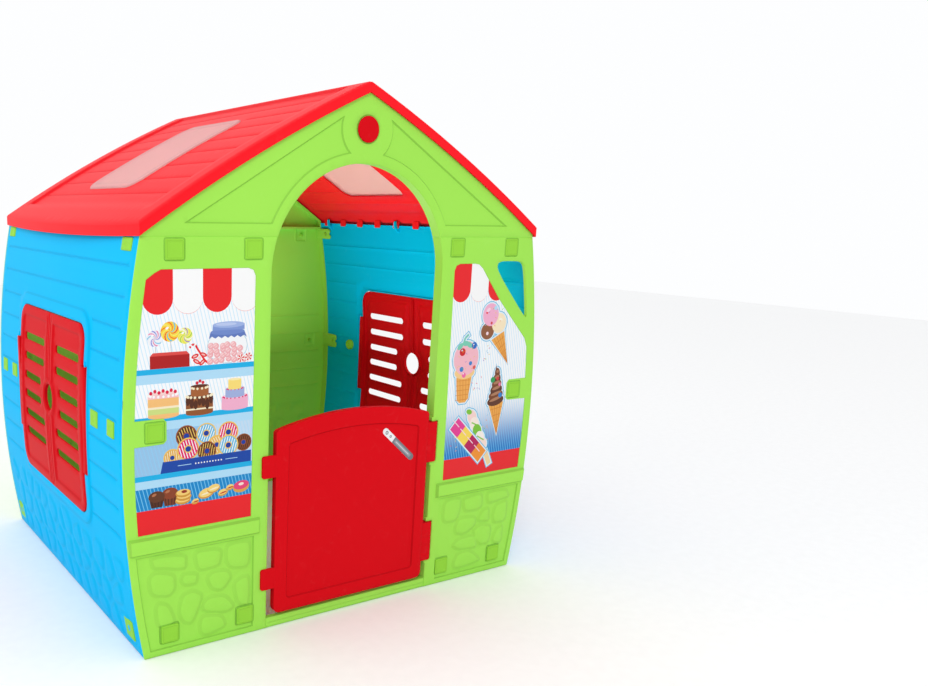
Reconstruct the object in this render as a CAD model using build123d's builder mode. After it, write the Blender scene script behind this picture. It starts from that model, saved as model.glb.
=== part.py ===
from build123d import *
import math
import os

os.makedirs("parts", exist_ok=True)

# A child's moulded plastic playhouse, in mm. X runs along the front, Y from front to back, Z up.
# The origin is on the ground, under the middle of the house.

# ---- overall sizes ----
body_depth = 882.0          # outer face of the front to outer face of the back
roof_rim = 6.0              # roof past the front and the back
ridge_height = 1090.0
eave_height = 819.0         # top edge of the eave
eave_half = 481.0           # middle of the house to the eave's face at the gable ends
eave_bow = 12.0             # how far the eave bulges out at mid length
roof_crown = 12.0           # rise of each roof panel above a straight slope
wall_half_foot = 480.0      # half width at the ground
wall_half_belly = 516.0     # half width at mid height
wall_half_top = 476.0       # half width at the top seam
seam_height = 796.0         # between the corner panels and the gable
wall_rise = 16.0            # side walls reach this far past the seam, behind the eave

# ---- moulding thicknesses and fits ----
skin = 3.0
flange_depth = 25.0         # how far the returns of the front and back reach inwards
foot_flange = 20.0          # inward return along the foot of a side wall
fit_gap = 0.3               # between pieces that only lie against each other
rim_drop = 19.0             # depth of the down-turned roof rim, square to the slope
field_drop = 5.0            # roof field below the raised border
border_end = 57.0           # raised border at the gable ends
border_eave = 45.0
border_ridge = 10.0

# ---- doorway and half door ----
door_opening_half = 212.0
arch_center_height = 725.0
threshold_height = 21.0
threshold_depth = 12.0
threshold_fillet = 3.0
door_side_gap = 16.0         # between the leaf and each jamb
door_foot = 30.0
door_shoulder = 419.0
door_rise = 27.0            # of the arched head
door_front = 5.0            # door face ahead of the house face
door_depth = 16.0
door_rim = 28.0
door_corner = 14.0
door_panel_drop = 3.0       # recessed field on the door's face
hinge_offset = 3.0           # hinge axis beyond the jamb
hinge_barrel = 9.5          # radius
hinge_pin = 3.0             # radius
pin_fit = 0.05
hinge_lug = 6.5             # half width of the lugs that hold the pin
hinge_lug_height = 10.0
hinge_notch = 1.5           # clearance round a hinge barrel
door_hinges = [(68.0, 159.0), (303.0, 394.0)]
door_catches = [(87.0, 132.0), (325.0, 371.0)]
catch_lap = 16.0             # of a catch over the other jamb
catch_depth = 4.5
handle_middle, handle_turn = (113.0, 355.0), -42.0
handle_length, handle_width = 112.0, 15.0

# ---- front details ----
sill_low, sill_high, sill_proud, sill_inset = 213.0, 247.0, 6.0, 19.0
sticker_low, sticker_top, sticker_drop = 251.0, 740.0, 1.5
sticker_jamb = 34.0          # bare strip beside the doorway
sticker_margin = 28.0
sticker_film = 0.6
sticker_notch = 5.0         # bare strip round a lock plug
# corners of the sticker's cut-away, measured in from the house's side, and their heights
sticker_cut = [(158.98, 770), (164.3, 740), (112.32, 660), (31.45, 566), (14.5, 540), (-49.5, 540),
               (-79.02, 770)]
stone_low, stone_top, stone_drop = 12.0, 209.0, 3.0
stone_inset = 31.0
stone_margin = 14.0
disc_height, disc_radius, disc_shank, disc_proud = 1001.0, 25.0, 16.0, 3.0
gable_low, gable_eave, gable_drop = 819.0, 87.0, 1.5
gable_arch_rim, gable_disc_rim, gable_disc_angle = 20.0, 35.0, 22.0
plug_size, plug_proud, plug_corner, plug_shank, plug_length = 36.0, 2.0, 3.0, 5.0, 12.0
side_plugs = [(68.73, 774.0), (61.72, 446.0), (60.43, 42.0)]     # in from the house's side, height
jamb_plugs = [(39.5, 774.0), (50.0, 42.0)]                       # beside the doorway, height
# corners of the triangular window, measured in from the house's side, and their heights
window_corners = [(110.61, 744), (39.79, 743), (26.64, 732), (23.81, 614), (33.59, 616), (115.95, 724)]

# ---- side walls, shutters ----
shutter_half = 228.0
shutter_low, shutter_top = 228.0, 619.0
shutter_corner = 38.0
shutter_proud, shutter_depth = 4.5, 8.0
shutter_border, shutter_drop = 22.0, 2.5
shutter_gap = 1.5
meeting_gap = 0.5           # each shutter stops this far from the middle line
ear_low, ear_top = 320.0, 539.0
ear_offset = 12.0            # shutter axis beyond the edge of its leaf
shutter_axis_drop = 3.0      # shutter axis inside the widest point of the house
ear_radius = 6.5
shutter_pin = 2.5
ear_room = 9.5              # radius kept free round the shutter axis
shutter_lug_height = 9.0
lug_width, lug_back = 9.0, 0.5   # lugs that hold a shutter pin, set back from its axis
trim_side, trim_below, trim_above, trim_corner, trim_proud = 28.0, 26.0, 30.0, 60.0, 3.0
slot_height = 17.0
slot_rows = [319.0, 364.0, 410.0, 455.0, 501.0, 547.0]
slot_margin, slot_inner, slot_inner_middle = 33.0, 41.0, 66.0
peep_height, peep_radius, peep_ring = 433.0, 30.0, 13.0

# ---- clips: y from the middle, height, width, tall ----
# in from the front or back face, height, width, height of the head
corner_clip_spots = [(59.0, 447.0, 35.0, 32.0), (52.0, 45.0, 42.0, 42.0), (52.0, 782.0, 46.0, 24.0)]
knob_clip_spot = (36.0, 447.0, 38.0, 32.0)    # the same, but beyond the window trim
clip_head, clip_shank, clip_length = 2.5, 5.0, 13.0
knob_radius, knob_depth = 15.0, 10.0
tab_reach, tab_thick, tab_room = 76.0, 3.0, 4.0

# ---- roof details ----
skylight_near, skylight_far = 115.0, 365.0
skylight_half = 127.0
skylight_corner = 24.0
skylight_lip, skylight_sheet, skylight_proud, skylight_fit = 10.0, 3.0, 3.0, 0.5
roof_tab_length, roof_tab_step, roof_tab_rise = 24.0, 83.0, 5.0
roof_tab_count = 10

front_face = -body_depth / 2
back_face = body_depth / 2
wall_height = seam_height + wall_rise
door_half = door_opening_half - door_side_gap
door_crown = door_shoulder + door_rise
hinge_axis_x = door_opening_half + hinge_offset
catch_reach = door_opening_half + catch_lap
sticker_inner = door_opening_half + sticker_jamb
gable_far = eave_half - gable_eave
gable_arch_reach = door_opening_half + gable_arch_rim
gable_disc_reach = disc_radius + gable_disc_rim
shutter_axis_x = wall_half_belly - shutter_axis_drop
shutter_axis_y = shutter_half + ear_offset
slot_outer = shutter_half - slot_margin
trim_half = shutter_half + trim_side
trim_low, trim_top = shutter_low - trim_below, shutter_top + trim_above
roof_tab_low = seam_height + roof_tab_rise
corner_clips = [(back_face - inset, height, wide, tall) for inset, height, wide, tall in corner_clip_spots]
knob_clip = (trim_half + knob_clip_spot[0], *knob_clip_spot[1:])
hinge_axis_y = front_face - door_front + hinge_barrel
shutter_pin_length = ear_top - ear_low + 2 * (shutter_gap + shutter_lug_height)
wall_inside = wall_half_top - 2 * foot_flange    # a plane that clears the inside of the walls
wall_reach = 3 * foot_flange + 2 * trim_proud + wall_half_belly - wall_half_top

# wall profile: one large arc through the foot, the belly and the top seam
chord_x = wall_half_top - wall_half_foot
chord_length = math.hypot(chord_x, seam_height)
wall_middle_x = (wall_half_top + wall_half_foot) / 2
wall_sag = wall_half_belly - wall_middle_x
wall_radius = ((chord_length / 2) ** 2 + wall_sag**2) / (2 * wall_sag)
wall_center_x = wall_middle_x + (wall_sag - wall_radius) * seam_height / chord_length
wall_center_z = seam_height / 2 - (wall_sag - wall_radius) * chord_x / chord_length

# roof profile: one large arc from the ridge to the eave
slope_run, slope_fall = eave_half, ridge_height - eave_height
slope_length = math.hypot(slope_run, slope_fall)
roof_radius = ((slope_length / 2) ** 2 + roof_crown**2) / (2 * roof_crown)
roof_center_x = slope_run / 2 + (roof_crown - roof_radius) * slope_fall / slope_length
roof_center_z = (ridge_height + eave_height) / 2 + (roof_crown - roof_radius) * slope_run / slope_length


def wall_x(z, inset=0.0):
    """Half width of the house at a height, measured to a face this far inside the outer one."""
    return wall_center_x + math.sqrt((wall_radius - inset) ** 2 - (z - wall_center_z) ** 2)


def in_from_side(spots):
    """Points on the right of the front, from their distance in from the house's side."""
    return [(wall_x(height, 0) - inset, height) for inset, height in spots]


def roof_z(x, inset=0.0):
    """Height of the roof above a point of the front, on a face this far under the outer one."""
    return roof_center_z + math.sqrt((roof_radius - inset) ** 2 - (x - roof_center_x) ** 2)


plug_places = in_from_side(side_plugs) + [(door_opening_half + gap, z) for gap, z in jamb_plugs]
side_plug = in_from_side(side_plugs)[1]      # the one that the sticker leaves bare


def arch_x(z, radius):
    """Half width of the doorway at a height."""
    if z <= arch_center_height:
        return radius
    return math.sqrt(radius**2 - (z - arch_center_height) ** 2)


def corner_outline(side, inset, inner, low, top, arch=False):
    """Face between the house's curved side and a straight or arched inner edge, as a wire."""
    middle = (low + top) / 2
    outer = [(side * wall_x(z, inset), z) for z in (low, middle, top)]
    ThreePointArc(*outer)
    if arch and top > arch_center_height:
        bend = arch_center_height
        rise = (bend + top) / 2
        Line(outer[2], (side * arch_x(top, inner), top))
        ThreePointArc(*[(side * arch_x(z, inner), z) for z in (top, rise, bend)])
        Line((side * inner, bend), (side * inner, low))
    else:
        Line(outer[2], (side * inner, top))
        Line((side * inner, top), (side * inner, low))
    Line((side * inner, low), outer[0])


def corner_face(side, inset, inner, low, top, arch=False, mode=Mode.ADD):
    """Filled corner outline in the sketch being built."""
    with BuildSketch(mode=Mode.PRIVATE) as face:
        with BuildLine():
            corner_outline(side, inset, inner, low, top, arch)
        make_face()
    add(face.sketch, mode=mode)


def wall_band(side, outer, inner, low, top):
    """Section of the side wall between two depths."""
    middle = (low + top) / 2
    with BuildSketch(mode=Mode.PRIVATE) as face:
        with BuildLine():
            near = [(side * wall_x(z, outer), z) for z in (low, middle, top)]
            far = [(side * wall_x(z, inner), z) for z in (low, middle, top)]
            ThreePointArc(*near)
            ThreePointArc(*far)
            Line(near[0], far[0])
            Line(near[2], far[2])
        make_face()
    add(face.sketch)


def roof_band(side, outer, inner, near, far, mode=Mode.ADD):
    """Section of a roof panel between two depths, from one distance off the ridge to another."""
    middle = (near + far) / 2
    with BuildSketch(mode=Mode.PRIVATE) as face:
        with BuildLine():
            top = [(side * x, roof_z(x, outer)) for x in (near, middle, far)]
            under = [(side * x, roof_z(x, inner)) for x in (near, middle, far)]
            ThreePointArc(*top)
            ThreePointArc(*under)
            Line(top[0], under[0])
            Line(top[2], under[2])
        make_face()
    add(face.sketch, mode=mode)


# ============================== front and back ==============================

def face_plane(front):
    """Outer face of the front or the back, drawn as seen from in front of the house."""
    return Plane.XZ.offset(-front_face if front else -back_face)


def inward(front):
    """Sign of an extrusion that runs into the house from that face."""
    return -1 if front else 1


def corner_panel(side, front, inner):
    """Corner panel: skin, returns, sill, stone recess, clip tabs and plug holes."""
    face, into = face_plane(front), inward(front)
    with BuildPart() as panel:
        with BuildSketch(face):
            corner_face(side, 0, inner, 0, seam_height, front)
        extrude(amount=into * skin)
        with BuildSketch(face):
            corner_face(side, skin + fit_gap, inner, 0, seam_height, front)
            corner_face(
                side, 2 * skin + fit_gap, inner + skin, skin, seam_height - skin, front, Mode.SUBTRACT
            )
        extrude(amount=into * flange_depth)
        with BuildSketch(face):
            corner_face(side, 0, inner + sill_inset, sill_low, sill_high)
        extrude(amount=-into * sill_proud)
        with BuildSketch(face.offset(into * skin)):
            corner_face(side, 2 * skin, inner + skin, stone_low - skin, stone_top + skin)
        extrude(amount=into * stone_drop)
        with BuildSketch(face):
            corner_face(side, stone_margin, inner + stone_inset, stone_low, stone_top)
        extrude(amount=into * stone_drop, mode=Mode.SUBTRACT)
        for _, height, _, tall in corner_clips:
            low = max(height - tall / 2 - tab_room, 0)
            top = min(height + tall / 2 + tab_room, seam_height)
            with BuildSketch(face.offset(into * skin)):
                wall_band(side, skin + fit_gap, skin + fit_gap + tab_thick, low, top)
            extrude(amount=into * (tab_reach - skin))
        for place, height, _, _ in corner_clips:
            y = -place if front else place
            with Locations(Location((side * wall_x(height), y, height), (0, 90, 0))):
                Cylinder(clip_shank + fit_gap, 4 * clip_length, mode=Mode.SUBTRACT)
        for x, z in plug_places:
            with Locations(Location((side * x, face.origin.Y, z), (90, 0, 0))):
                Cylinder(plug_shank + fit_gap, 4 * plug_length, mode=Mode.SUBTRACT)
    return panel


def gable_outline(inset, roof_inset, low):
    """Face under the roof: upright sides, then one arc up each slope to the ridge."""
    corner_z = eave_height
    for _ in range(6):
        corner_z = roof_z(wall_x(corner_z, inset), roof_inset)
    corner_x = wall_x(corner_z, inset)
    peak = (0, roof_z(0, roof_inset))
    middle_x = corner_x / 2
    foot_x = wall_x(low, inset)
    with BuildSketch(mode=Mode.PRIVATE) as face:
        with BuildLine():
            for side in (-1, 1):
                Line((side * foot_x, low), (side * corner_x, corner_z))
                ThreePointArc(
                    (side * corner_x, corner_z),
                    (side * middle_x, roof_z(middle_x, roof_inset)),
                    peak,
                )
            Line((-foot_x, low), (foot_x, low))
        make_face()
    return face.sketch


def arch_face(radius, low):
    """Doorway head: a round arch that runs straight down to a level."""
    with BuildSketch(mode=Mode.PRIVATE) as face:
        with Locations((0, arch_center_height)):
            Circle(radius)
        with BuildSketch(mode=Mode.PRIVATE) as upper:
            with Locations((0, low + radius)):
                Rectangle(3 * radius, 2 * radius)
        add(upper.sketch, mode=Mode.INTERSECT)
    return face.sketch


def gable(front):
    """Gable: skin and returns, with the doorway's arch in the front one."""
    face, into = face_plane(front), inward(front)
    roof_seat = skin + fit_gap
    with BuildPart() as panel:
        with BuildSketch(face):
            add(gable_outline(0, roof_seat, seam_height))
            if front:
                add(arch_face(door_opening_half, seam_height - skin), mode=Mode.SUBTRACT)
        extrude(amount=into * skin)
        with BuildSketch(face):
            add(gable_outline(skin + fit_gap, roof_seat + 1, seam_height))
            add(gable_outline(2 * skin, roof_seat + skin, seam_height + skin), mode=Mode.SUBTRACT)
            if front:
                add(arch_face(door_opening_half + skin, seam_height - skin))
                add(arch_face(door_opening_half, seam_height - 2 * skin), mode=Mode.SUBTRACT)
        extrude(amount=into * flange_depth)
        if front:
            below = Location((0, 0, seam_height - 2 * skin))
            with BuildSketch(Plane(below)):
                Rectangle(3 * door_opening_half, 2 * body_depth)
            extrude(amount=2 * skin, mode=Mode.SUBTRACT)
            for side in (-1, 1):
                with BuildSketch(face):
                    gable_recess(side)
                extrude(amount=into * gable_drop, mode=Mode.SUBTRACT)
            with Locations(Location((0, face.origin.Y, disc_height), (90, 0, 0))):
                Cylinder(disc_shank + fit_gap, 2 * flange_depth, mode=Mode.SUBTRACT)
    return panel


def polar(radius, height, degrees, side):
    """Point at a radius and an angle about a centre on the house's middle line."""
    turn = math.radians(degrees)
    return (side * radius * math.cos(turn), height + radius * math.sin(turn))


def gable_recess(side):
    """Sunken field beside the arch: it follows the arch, the disc and the slope."""
    low = gable_low - arch_center_height
    foot = math.degrees(math.asin(low / gable_arch_reach))
    rise = disc_height - arch_center_height
    across = (rise**2 + gable_arch_reach**2 - gable_disc_reach**2) / (2 * rise)
    meet = math.degrees(math.asin(across / gable_arch_reach))
    meet_disc = math.degrees(math.asin((across - rise) / gable_disc_reach))
    arch_turns = (foot, (foot + meet) / 2, meet)
    disc_turns = (meet_disc, (meet_disc + gable_disc_angle) / 2, gable_disc_angle)
    arch_points = [polar(gable_arch_reach, arch_center_height, turn, side) for turn in arch_turns]
    disc_points = [polar(gable_disc_reach, disc_height, turn, side) for turn in disc_turns]
    tip = (side * gable_far, gable_low)
    with BuildSketch(mode=Mode.PRIVATE) as face:
        with BuildLine():
            Line(tip, arch_points[0])
            ThreePointArc(*arch_points)
            ThreePointArc(*disc_points)
            Line(disc_points[2], tip)
        make_face()
    add(face.sketch)


def sticker_face(side):
    """Shop-window sticker: follows the house's side, cut away round the lock plug."""
    corner_face(side, sticker_margin, sticker_inner, sticker_low, sticker_top)
    with Locations((side * (side_plug[0] + plug_size), side_plug[1])):
        Rectangle(plug_size + 2 * sticker_notch + 2 * plug_size, plug_size + 2 * sticker_notch,
                  mode=Mode.SUBTRACT)


def polygon_face(points, mode=Mode.ADD):
    """Straight-sided face in the sketch being built."""
    with BuildSketch(mode=Mode.PRIVATE) as face:
        with BuildLine():
            Polyline(*points, close=True)
        make_face()
    add(face.sketch, mode=mode)


for side, name in ((-1, "left"), (1, "right")):
    panel = corner_panel(side, True, door_opening_half)
    with BuildPart() as front_panel:
        add(panel.part)
        with BuildSketch(face_plane(True)):
            sticker_face(side)
            if side > 0:
                polygon_face(in_from_side(sticker_cut), Mode.SUBTRACT)
        extrude(amount=-sticker_drop, mode=Mode.SUBTRACT)
        if side > 0:
            with BuildSketch(face_plane(True)):
                polygon_face(in_from_side(window_corners))
            extrude(amount=-flange_depth, mode=Mode.SUBTRACT)
            notch_far = hinge_axis_x + hinge_barrel + hinge_notch
            for low, top in door_hinges:
                middle = (low + top) / 2
                tall = top - low
                with BuildSketch(Plane.XY.offset(low - hinge_lug_height)):
                    with Locations((hinge_axis_x, front_face + hinge_lug)):
                        Rectangle(2 * hinge_lug, 2 * hinge_lug)
                extrude(amount=tall + 2 * hinge_lug_height)
                with BuildSketch(Plane.XY.offset(low - hinge_notch)):
                    with Locations((notch_far - door_opening_half, front_face)):
                        Rectangle(2 * door_opening_half, 4 * flange_depth)
                extrude(amount=tall + 2 * hinge_notch, mode=Mode.SUBTRACT)
                with Locations((hinge_axis_x, hinge_axis_y, middle)):
                    Cylinder(hinge_pin + pin_fit, tall + 4 * hinge_lug_height, mode=Mode.SUBTRACT)
    front_panel.part.label = f"front_panel_{name}"
    export_step(front_panel.part, f"parts/front_panel_{name}.step")

    with BuildPart() as sticker:
        with BuildSketch(face_plane(True).offset(-sticker_drop)):
            sticker_face(side)
            if side > 0:
                polygon_face(in_from_side(sticker_cut), Mode.SUBTRACT)
        extrude(amount=sticker_film)
    sticker.part.label = f"shop_sticker_{name}"
    export_step(sticker.part, f"parts/shop_sticker_{name}.step")

    back_panel = corner_panel(side, False, 0)
    back_panel.part.label = f"back_panel_{name}"
    export_step(back_panel.part, f"parts/back_panel_{name}.step")

front_gable = gable(True)
front_gable.part.label = "front_gable"
export_step(front_gable.part, "parts/front_gable.step")

back_gable = gable(False)
back_gable.part.label = "back_gable"
export_step(back_gable.part, "parts/back_gable.step")

with BuildPart() as front_disc:
    with BuildSketch(face_plane(True)):
        with Locations((0, disc_height)):
            Circle(disc_radius)
    extrude(amount=disc_proud)
    with BuildSketch(face_plane(True)):
        with Locations((0, disc_height)):
            Circle(disc_shank)
    extrude(amount=-plug_length)
    fillet(front_disc.faces().sort_by(Axis.Y)[0].edges(), disc_proud / 2)
front_disc.part.label = "front_disc"
export_step(front_disc.part, "parts/front_disc.step")

with BuildPart() as threshold:
    with BuildSketch(Plane.XY):
        with Locations((0, front_face + threshold_depth / 2)):
            Rectangle(2 * door_opening_half, threshold_depth)
    extrude(amount=threshold_height)
    fillet(threshold.edges().filter_by(Axis.X).group_by(Axis.Z)[-1], threshold_fillet)
threshold.part.label = "front_threshold"
export_step(threshold.part, "parts/front_threshold.step")

for front, name in ((True, "front"), (False, "back")):
    with BuildPart() as lock_plugs:
        for side in (-1, 1):
            with BuildSketch(face_plane(front)):
                with Locations(*[(side * x, z) for x, z in plug_places]):
                    RectangleRounded(plug_size, plug_size, plug_corner)
            extrude(amount=-inward(front) * plug_proud)
            with BuildSketch(face_plane(front)):
                with Locations(*[(side * x, z) for x, z in plug_places]):
                    Circle(plug_shank)
            extrude(amount=inward(front) * plug_length)
    lock_plugs.part.label = f"{name}_lock_plugs"
    export_step(lock_plugs.part, f"parts/{name}_lock_plugs.step")


# ============================== side walls and their clips ==============================

def window_cut(side):
    """Opening that the shutters and their ears close, through one side of the house."""
    with BuildSketch(Plane.YZ.offset(side * wall_inside)) as cut:
        with Locations((0, (shutter_low + shutter_top) / 2)):
            RectangleRounded(
                2 * (shutter_half + shutter_gap),
                shutter_top - shutter_low + 2 * shutter_gap,
                shutter_corner + shutter_gap,
            )
        with Locations((0, (ear_low + ear_top) / 2)):
            Rectangle(2 * (shutter_axis_y + ear_room), ear_top - ear_low + 2 * shutter_gap)
    extrude(cut.sketch, amount=side * wall_reach, mode=Mode.SUBTRACT)


def shell(side, outer, inner, low, top, half_y):
    """Curved plate between two depths of the wall, from one end of the house to the other."""
    with BuildSketch(Plane.XZ.offset(-half_y)) as section:
        wall_band(side, outer, inner, low, top)
    extrude(section.sketch, amount=2 * half_y)


for side, name in ((-1, "left"), (1, "right")):
    with BuildPart() as trim:
        shell(side, -trim_proud, skin / 2, trim_low - skin, trim_top + skin, trim_half + skin)
        with BuildSketch(Plane.YZ.offset(side * wall_inside)):
            with Locations((0, (trim_low + trim_top) / 2)):
                RectangleRounded(2 * trim_half, trim_top - trim_low, trim_corner)
        extrude(amount=side * wall_reach, mode=Mode.INTERSECT)

    with BuildPart() as side_wall:
        shell(side, 0, skin, 0, wall_height, back_face - skin)
        shell(side, skin / 2, foot_flange, 0, skin, back_face - flange_depth - fit_gap)
        add(trim.part)
        window_cut(side)
        for end in (-1, 1):
            lug_low = ear_low - shutter_gap - shutter_lug_height
            lug_high = ear_top + shutter_gap
            for low in (lug_low, lug_high):
                far = shutter_axis_x - lug_back + lug_width / 2
                near = min(far - lug_width, wall_x(low + shutter_lug_height, skin / 2), wall_x(low, skin / 2))
                with BuildSketch(Plane.XY.offset(low)):
                    with Locations((side * (near + far) / 2, end * shutter_axis_y)):
                        Rectangle(far - near, 2 * ear_radius)
                extrude(amount=shutter_lug_height)
            with Locations((side * shutter_axis_x, end * shutter_axis_y, (ear_low + ear_top) / 2)):
                Cylinder(shutter_pin + pin_fit, shutter_pin_length, mode=Mode.SUBTRACT)
            for y, height, _, _ in corner_clips + [knob_clip]:
                with Locations(Location((side * wall_x(height), end * y, height), (0, 90, 0))):
                    Cylinder(clip_shank + fit_gap, 4 * clip_length, mode=Mode.SUBTRACT)
    side_wall.part.label = f"side_wall_{name}"
    export_step(side_wall.part, f"parts/side_wall_{name}.step")

    with BuildPart() as wall_clips:
        for end in (-1, 1):
            for y, height, wide, tall in corner_clips + [knob_clip]:
                low, top = height - tall / 2, height + tall / 2
                with BuildSketch(Plane.XZ.offset(-end * y - wide / 2)):
                    wall_band(side, -fit_gap - clip_head, -fit_gap, low, top)
                extrude(amount=wide)
                with BuildSketch(Plane.YZ.offset(side * (wall_x(height) + fit_gap + clip_head / 2))):
                    with Locations((end * y, height)):
                        Circle(clip_shank)
                extrude(amount=-side * clip_length)
    wall_clips.part.label = f"wall_clips_{name}"
    export_step(wall_clips.part, f"parts/wall_clips_{name}.step")

    with BuildPart() as knobs:
        y, height, _, _ = knob_clip
        seat = wall_x(height + knob_radius, skin) - fit_gap
        for end in (-1, 1):
            with BuildSketch(Plane.YZ.offset(side * seat)):
                with Locations((end * y, height)):
                    Circle(knob_radius)
                    Circle(clip_shank + pin_fit, mode=Mode.SUBTRACT)
            extrude(amount=-side * knob_depth)
    knobs.part.label = f"clip_knobs_{name}"
    export_step(knobs.part, f"parts/clip_knobs_{name}.step")

    with BuildPart() as pins:
        for end in (-1, 1):
            with Locations((side * shutter_axis_x, end * shutter_axis_y, (ear_low + ear_top) / 2)):
                Cylinder(shutter_pin, shutter_pin_length)
    pins.part.label = f"shutter_pins_{name}"
    export_step(pins.part, f"parts/shutter_pins_{name}.step")


# ============================== shutters ==============================

def shutter_plan(end, border):
    """Face of one shutter inside its edge, square at the middle of the window."""
    wide = shutter_half - border
    with BuildSketch(mode=Mode.PRIVATE) as face:
        with Locations((0, (shutter_low + shutter_top) / 2)):
            RectangleRounded(2 * wide, shutter_top - shutter_low - 2 * border, shutter_corner - border / 2)
        with BuildSketch(mode=Mode.PRIVATE) as half:
            with Locations((end * (meeting_gap + border + wide), (shutter_low + shutter_top) / 2)):
                Rectangle(2 * wide, 2 * shutter_top)
        add(half.sketch, mode=Mode.INTERSECT)
    add(face.sketch)


for side, side_name in ((-1, "left"), (1, "right")):
    for end, end_name in ((-1, "front"), (1, "rear")):
        with BuildPart() as field:
            shell(side, -2 * shutter_proud, shutter_drop - shutter_proud, shutter_low, shutter_top,
                  shutter_half + skin)
            with BuildSketch(Plane.YZ.offset(side * wall_inside)):
                shutter_plan(end, shutter_border)
                with Locations((0, peep_height)):
                    Circle(peep_radius + peep_ring, mode=Mode.SUBTRACT)
            extrude(amount=side * wall_reach, mode=Mode.INTERSECT)

        with BuildPart() as shutter:
            shell(side, -shutter_proud, shutter_depth - shutter_proud, shutter_low - skin,
                  shutter_top + skin, shutter_half + skin)
            with BuildSketch(Plane.YZ.offset(side * wall_inside)):
                shutter_plan(end, 0)
            extrude(amount=side * wall_reach, mode=Mode.INTERSECT)
            add(field.part, mode=Mode.SUBTRACT)
            with BuildSketch(Plane.XY.offset(ear_low)):
                with Locations((side * shutter_axis_x, end * (shutter_axis_y + shutter_half - skin) / 2)):
                    Rectangle(2 * ear_radius, shutter_axis_y - shutter_half + skin)
                with Locations((side * shutter_axis_x, end * shutter_axis_y)):
                    Circle(ear_radius)
            extrude(amount=ear_top - ear_low)
            with BuildSketch(Plane.YZ.offset(side * wall_inside)):
                for row, height in enumerate(slot_rows):
                    inner_end = slot_inner_middle if row in (2, 3) else slot_inner
                    with Locations((end * (slot_outer + inner_end) / 2, height)):
                        SlotOverall(slot_outer - inner_end, slot_height)
                with Locations((0, peep_height)):
                    Circle(peep_radius)
            extrude(amount=side * wall_reach, mode=Mode.SUBTRACT)
            with Locations((side * shutter_axis_x, end * shutter_axis_y, (ear_low + ear_top) / 2)):
                Cylinder(shutter_pin + pin_fit, shutter_pin_length, mode=Mode.SUBTRACT)
        shutter.part.label = f"shutter_{side_name}_{end_name}"
        export_step(shutter.part, f"parts/shutter_{side_name}_{end_name}.step")


# ============================== half door ==============================

def door_outline(inset, low):
    """Door's face inside its edge: square foot, shallow arched head."""
    half = door_half - inset
    head_rise = door_crown - door_shoulder
    with BuildSketch(mode=Mode.PRIVATE) as face:
        with BuildLine():
            Line((-half, low), (half, low))
            Line((half, low), (half, door_shoulder - inset))
            ThreePointArc(
                (half, door_shoulder - inset),
                (0, door_shoulder - inset + head_rise * half / door_half),
                (-half, door_shoulder - inset),
            )
            Line((-half, door_shoulder - inset), (-half, low))
        make_face()
        fillet(face.vertices().group_by(Axis.Y)[0], door_corner)
    add(face.sketch)


def door_ring(inset, low, width):
    """Band of the door's outline."""
    door_outline(inset, low)
    with BuildSketch(mode=Mode.PRIVATE) as hole:
        door_outline(inset + width, low + width)
    add(hole.sketch, mode=Mode.SUBTRACT)


door_plane = Plane.XZ.offset(-front_face + door_front)
with BuildPart() as half_door:
    with BuildSketch(door_plane):
        door_outline(0, door_foot)
    extrude(amount=-skin)
    with BuildSketch(door_plane):
        door_ring(0, door_foot, skin)
    extrude(amount=-door_depth)
    with BuildSketch(door_plane.offset(-skin)):
        door_outline(door_rim - skin, door_foot + door_rim)
    extrude(amount=-door_panel_drop)
    with BuildSketch(door_plane):
        door_outline(door_rim, door_foot + door_rim + skin)
    extrude(amount=-door_panel_drop, mode=Mode.SUBTRACT)
    for low, top in door_hinges:
        with BuildSketch(Plane.XY.offset(low)):
            with Locations((hinge_axis_x, hinge_axis_y)):
                Circle(hinge_barrel)
            with Locations(((hinge_axis_x + door_half - skin) / 2, hinge_axis_y)):
                Rectangle(hinge_axis_x - door_half + skin, 2 * hinge_barrel)
        extrude(amount=top - low)
        with Locations((hinge_axis_x, hinge_axis_y, (low + top) / 2)):
            Cylinder(hinge_pin + pin_fit, 2 * (top - low), mode=Mode.SUBTRACT)
    with BuildSketch(door_plane):
        for low, top in door_catches:
            with Locations((-(catch_reach + door_half - door_rim / 2) / 2, (low + top) / 2)):
                RectangleRounded(catch_reach - door_half + door_rim / 2, top - low, skin)
    extrude(amount=-catch_depth)
half_door.part.label = "half_door"
export_step(half_door.part, "parts/half_door.step")

with BuildPart() as handle_sticker:
    with BuildSketch(door_plane.offset(-door_panel_drop)):
        with Locations(Location(handle_middle, handle_turn)):
            SlotOverall(handle_length, handle_width)
    extrude(amount=sticker_film)
handle_sticker.part.label = "door_handle_sticker"
export_step(handle_sticker.part, "parts/door_handle_sticker.step")

with BuildPart() as door_pins:
    for low, top in door_hinges:
        with Locations((hinge_axis_x, hinge_axis_y, (low + top) / 2)):
            Cylinder(hinge_pin, top - low + 2 * hinge_lug_height)
door_pins.part.label = "door_hinge_pins"
export_step(door_pins.part, "parts/door_hinge_pins.step")


# ============================== roof ==============================

def roof_plan(side, near, inset, half_length):
    """Plan of a roof panel: straight at the ridge, its eave bowed outwards."""
    far = side * (eave_half - inset)
    bulge = far + side * eave_bow
    with BuildSketch(mode=Mode.PRIVATE) as face:
        with BuildLine():
            Line((side * near, -half_length), (far, -half_length))
            ThreePointArc((far, -half_length), (bulge, 0), (far, half_length))
            Line((far, half_length), (side * near, half_length))
            Line((side * near, half_length), (side * near, -half_length))
        make_face()
    add(face.sketch)


def roof_plate(side, outer, inner, half_length, near, far):
    """Curved plate between two depths of the roof."""
    with BuildSketch(Plane.XZ.offset(-half_length)) as section:
        roof_band(side, outer, inner, near, far)
    extrude(section.sketch, amount=2 * half_length)


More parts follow.
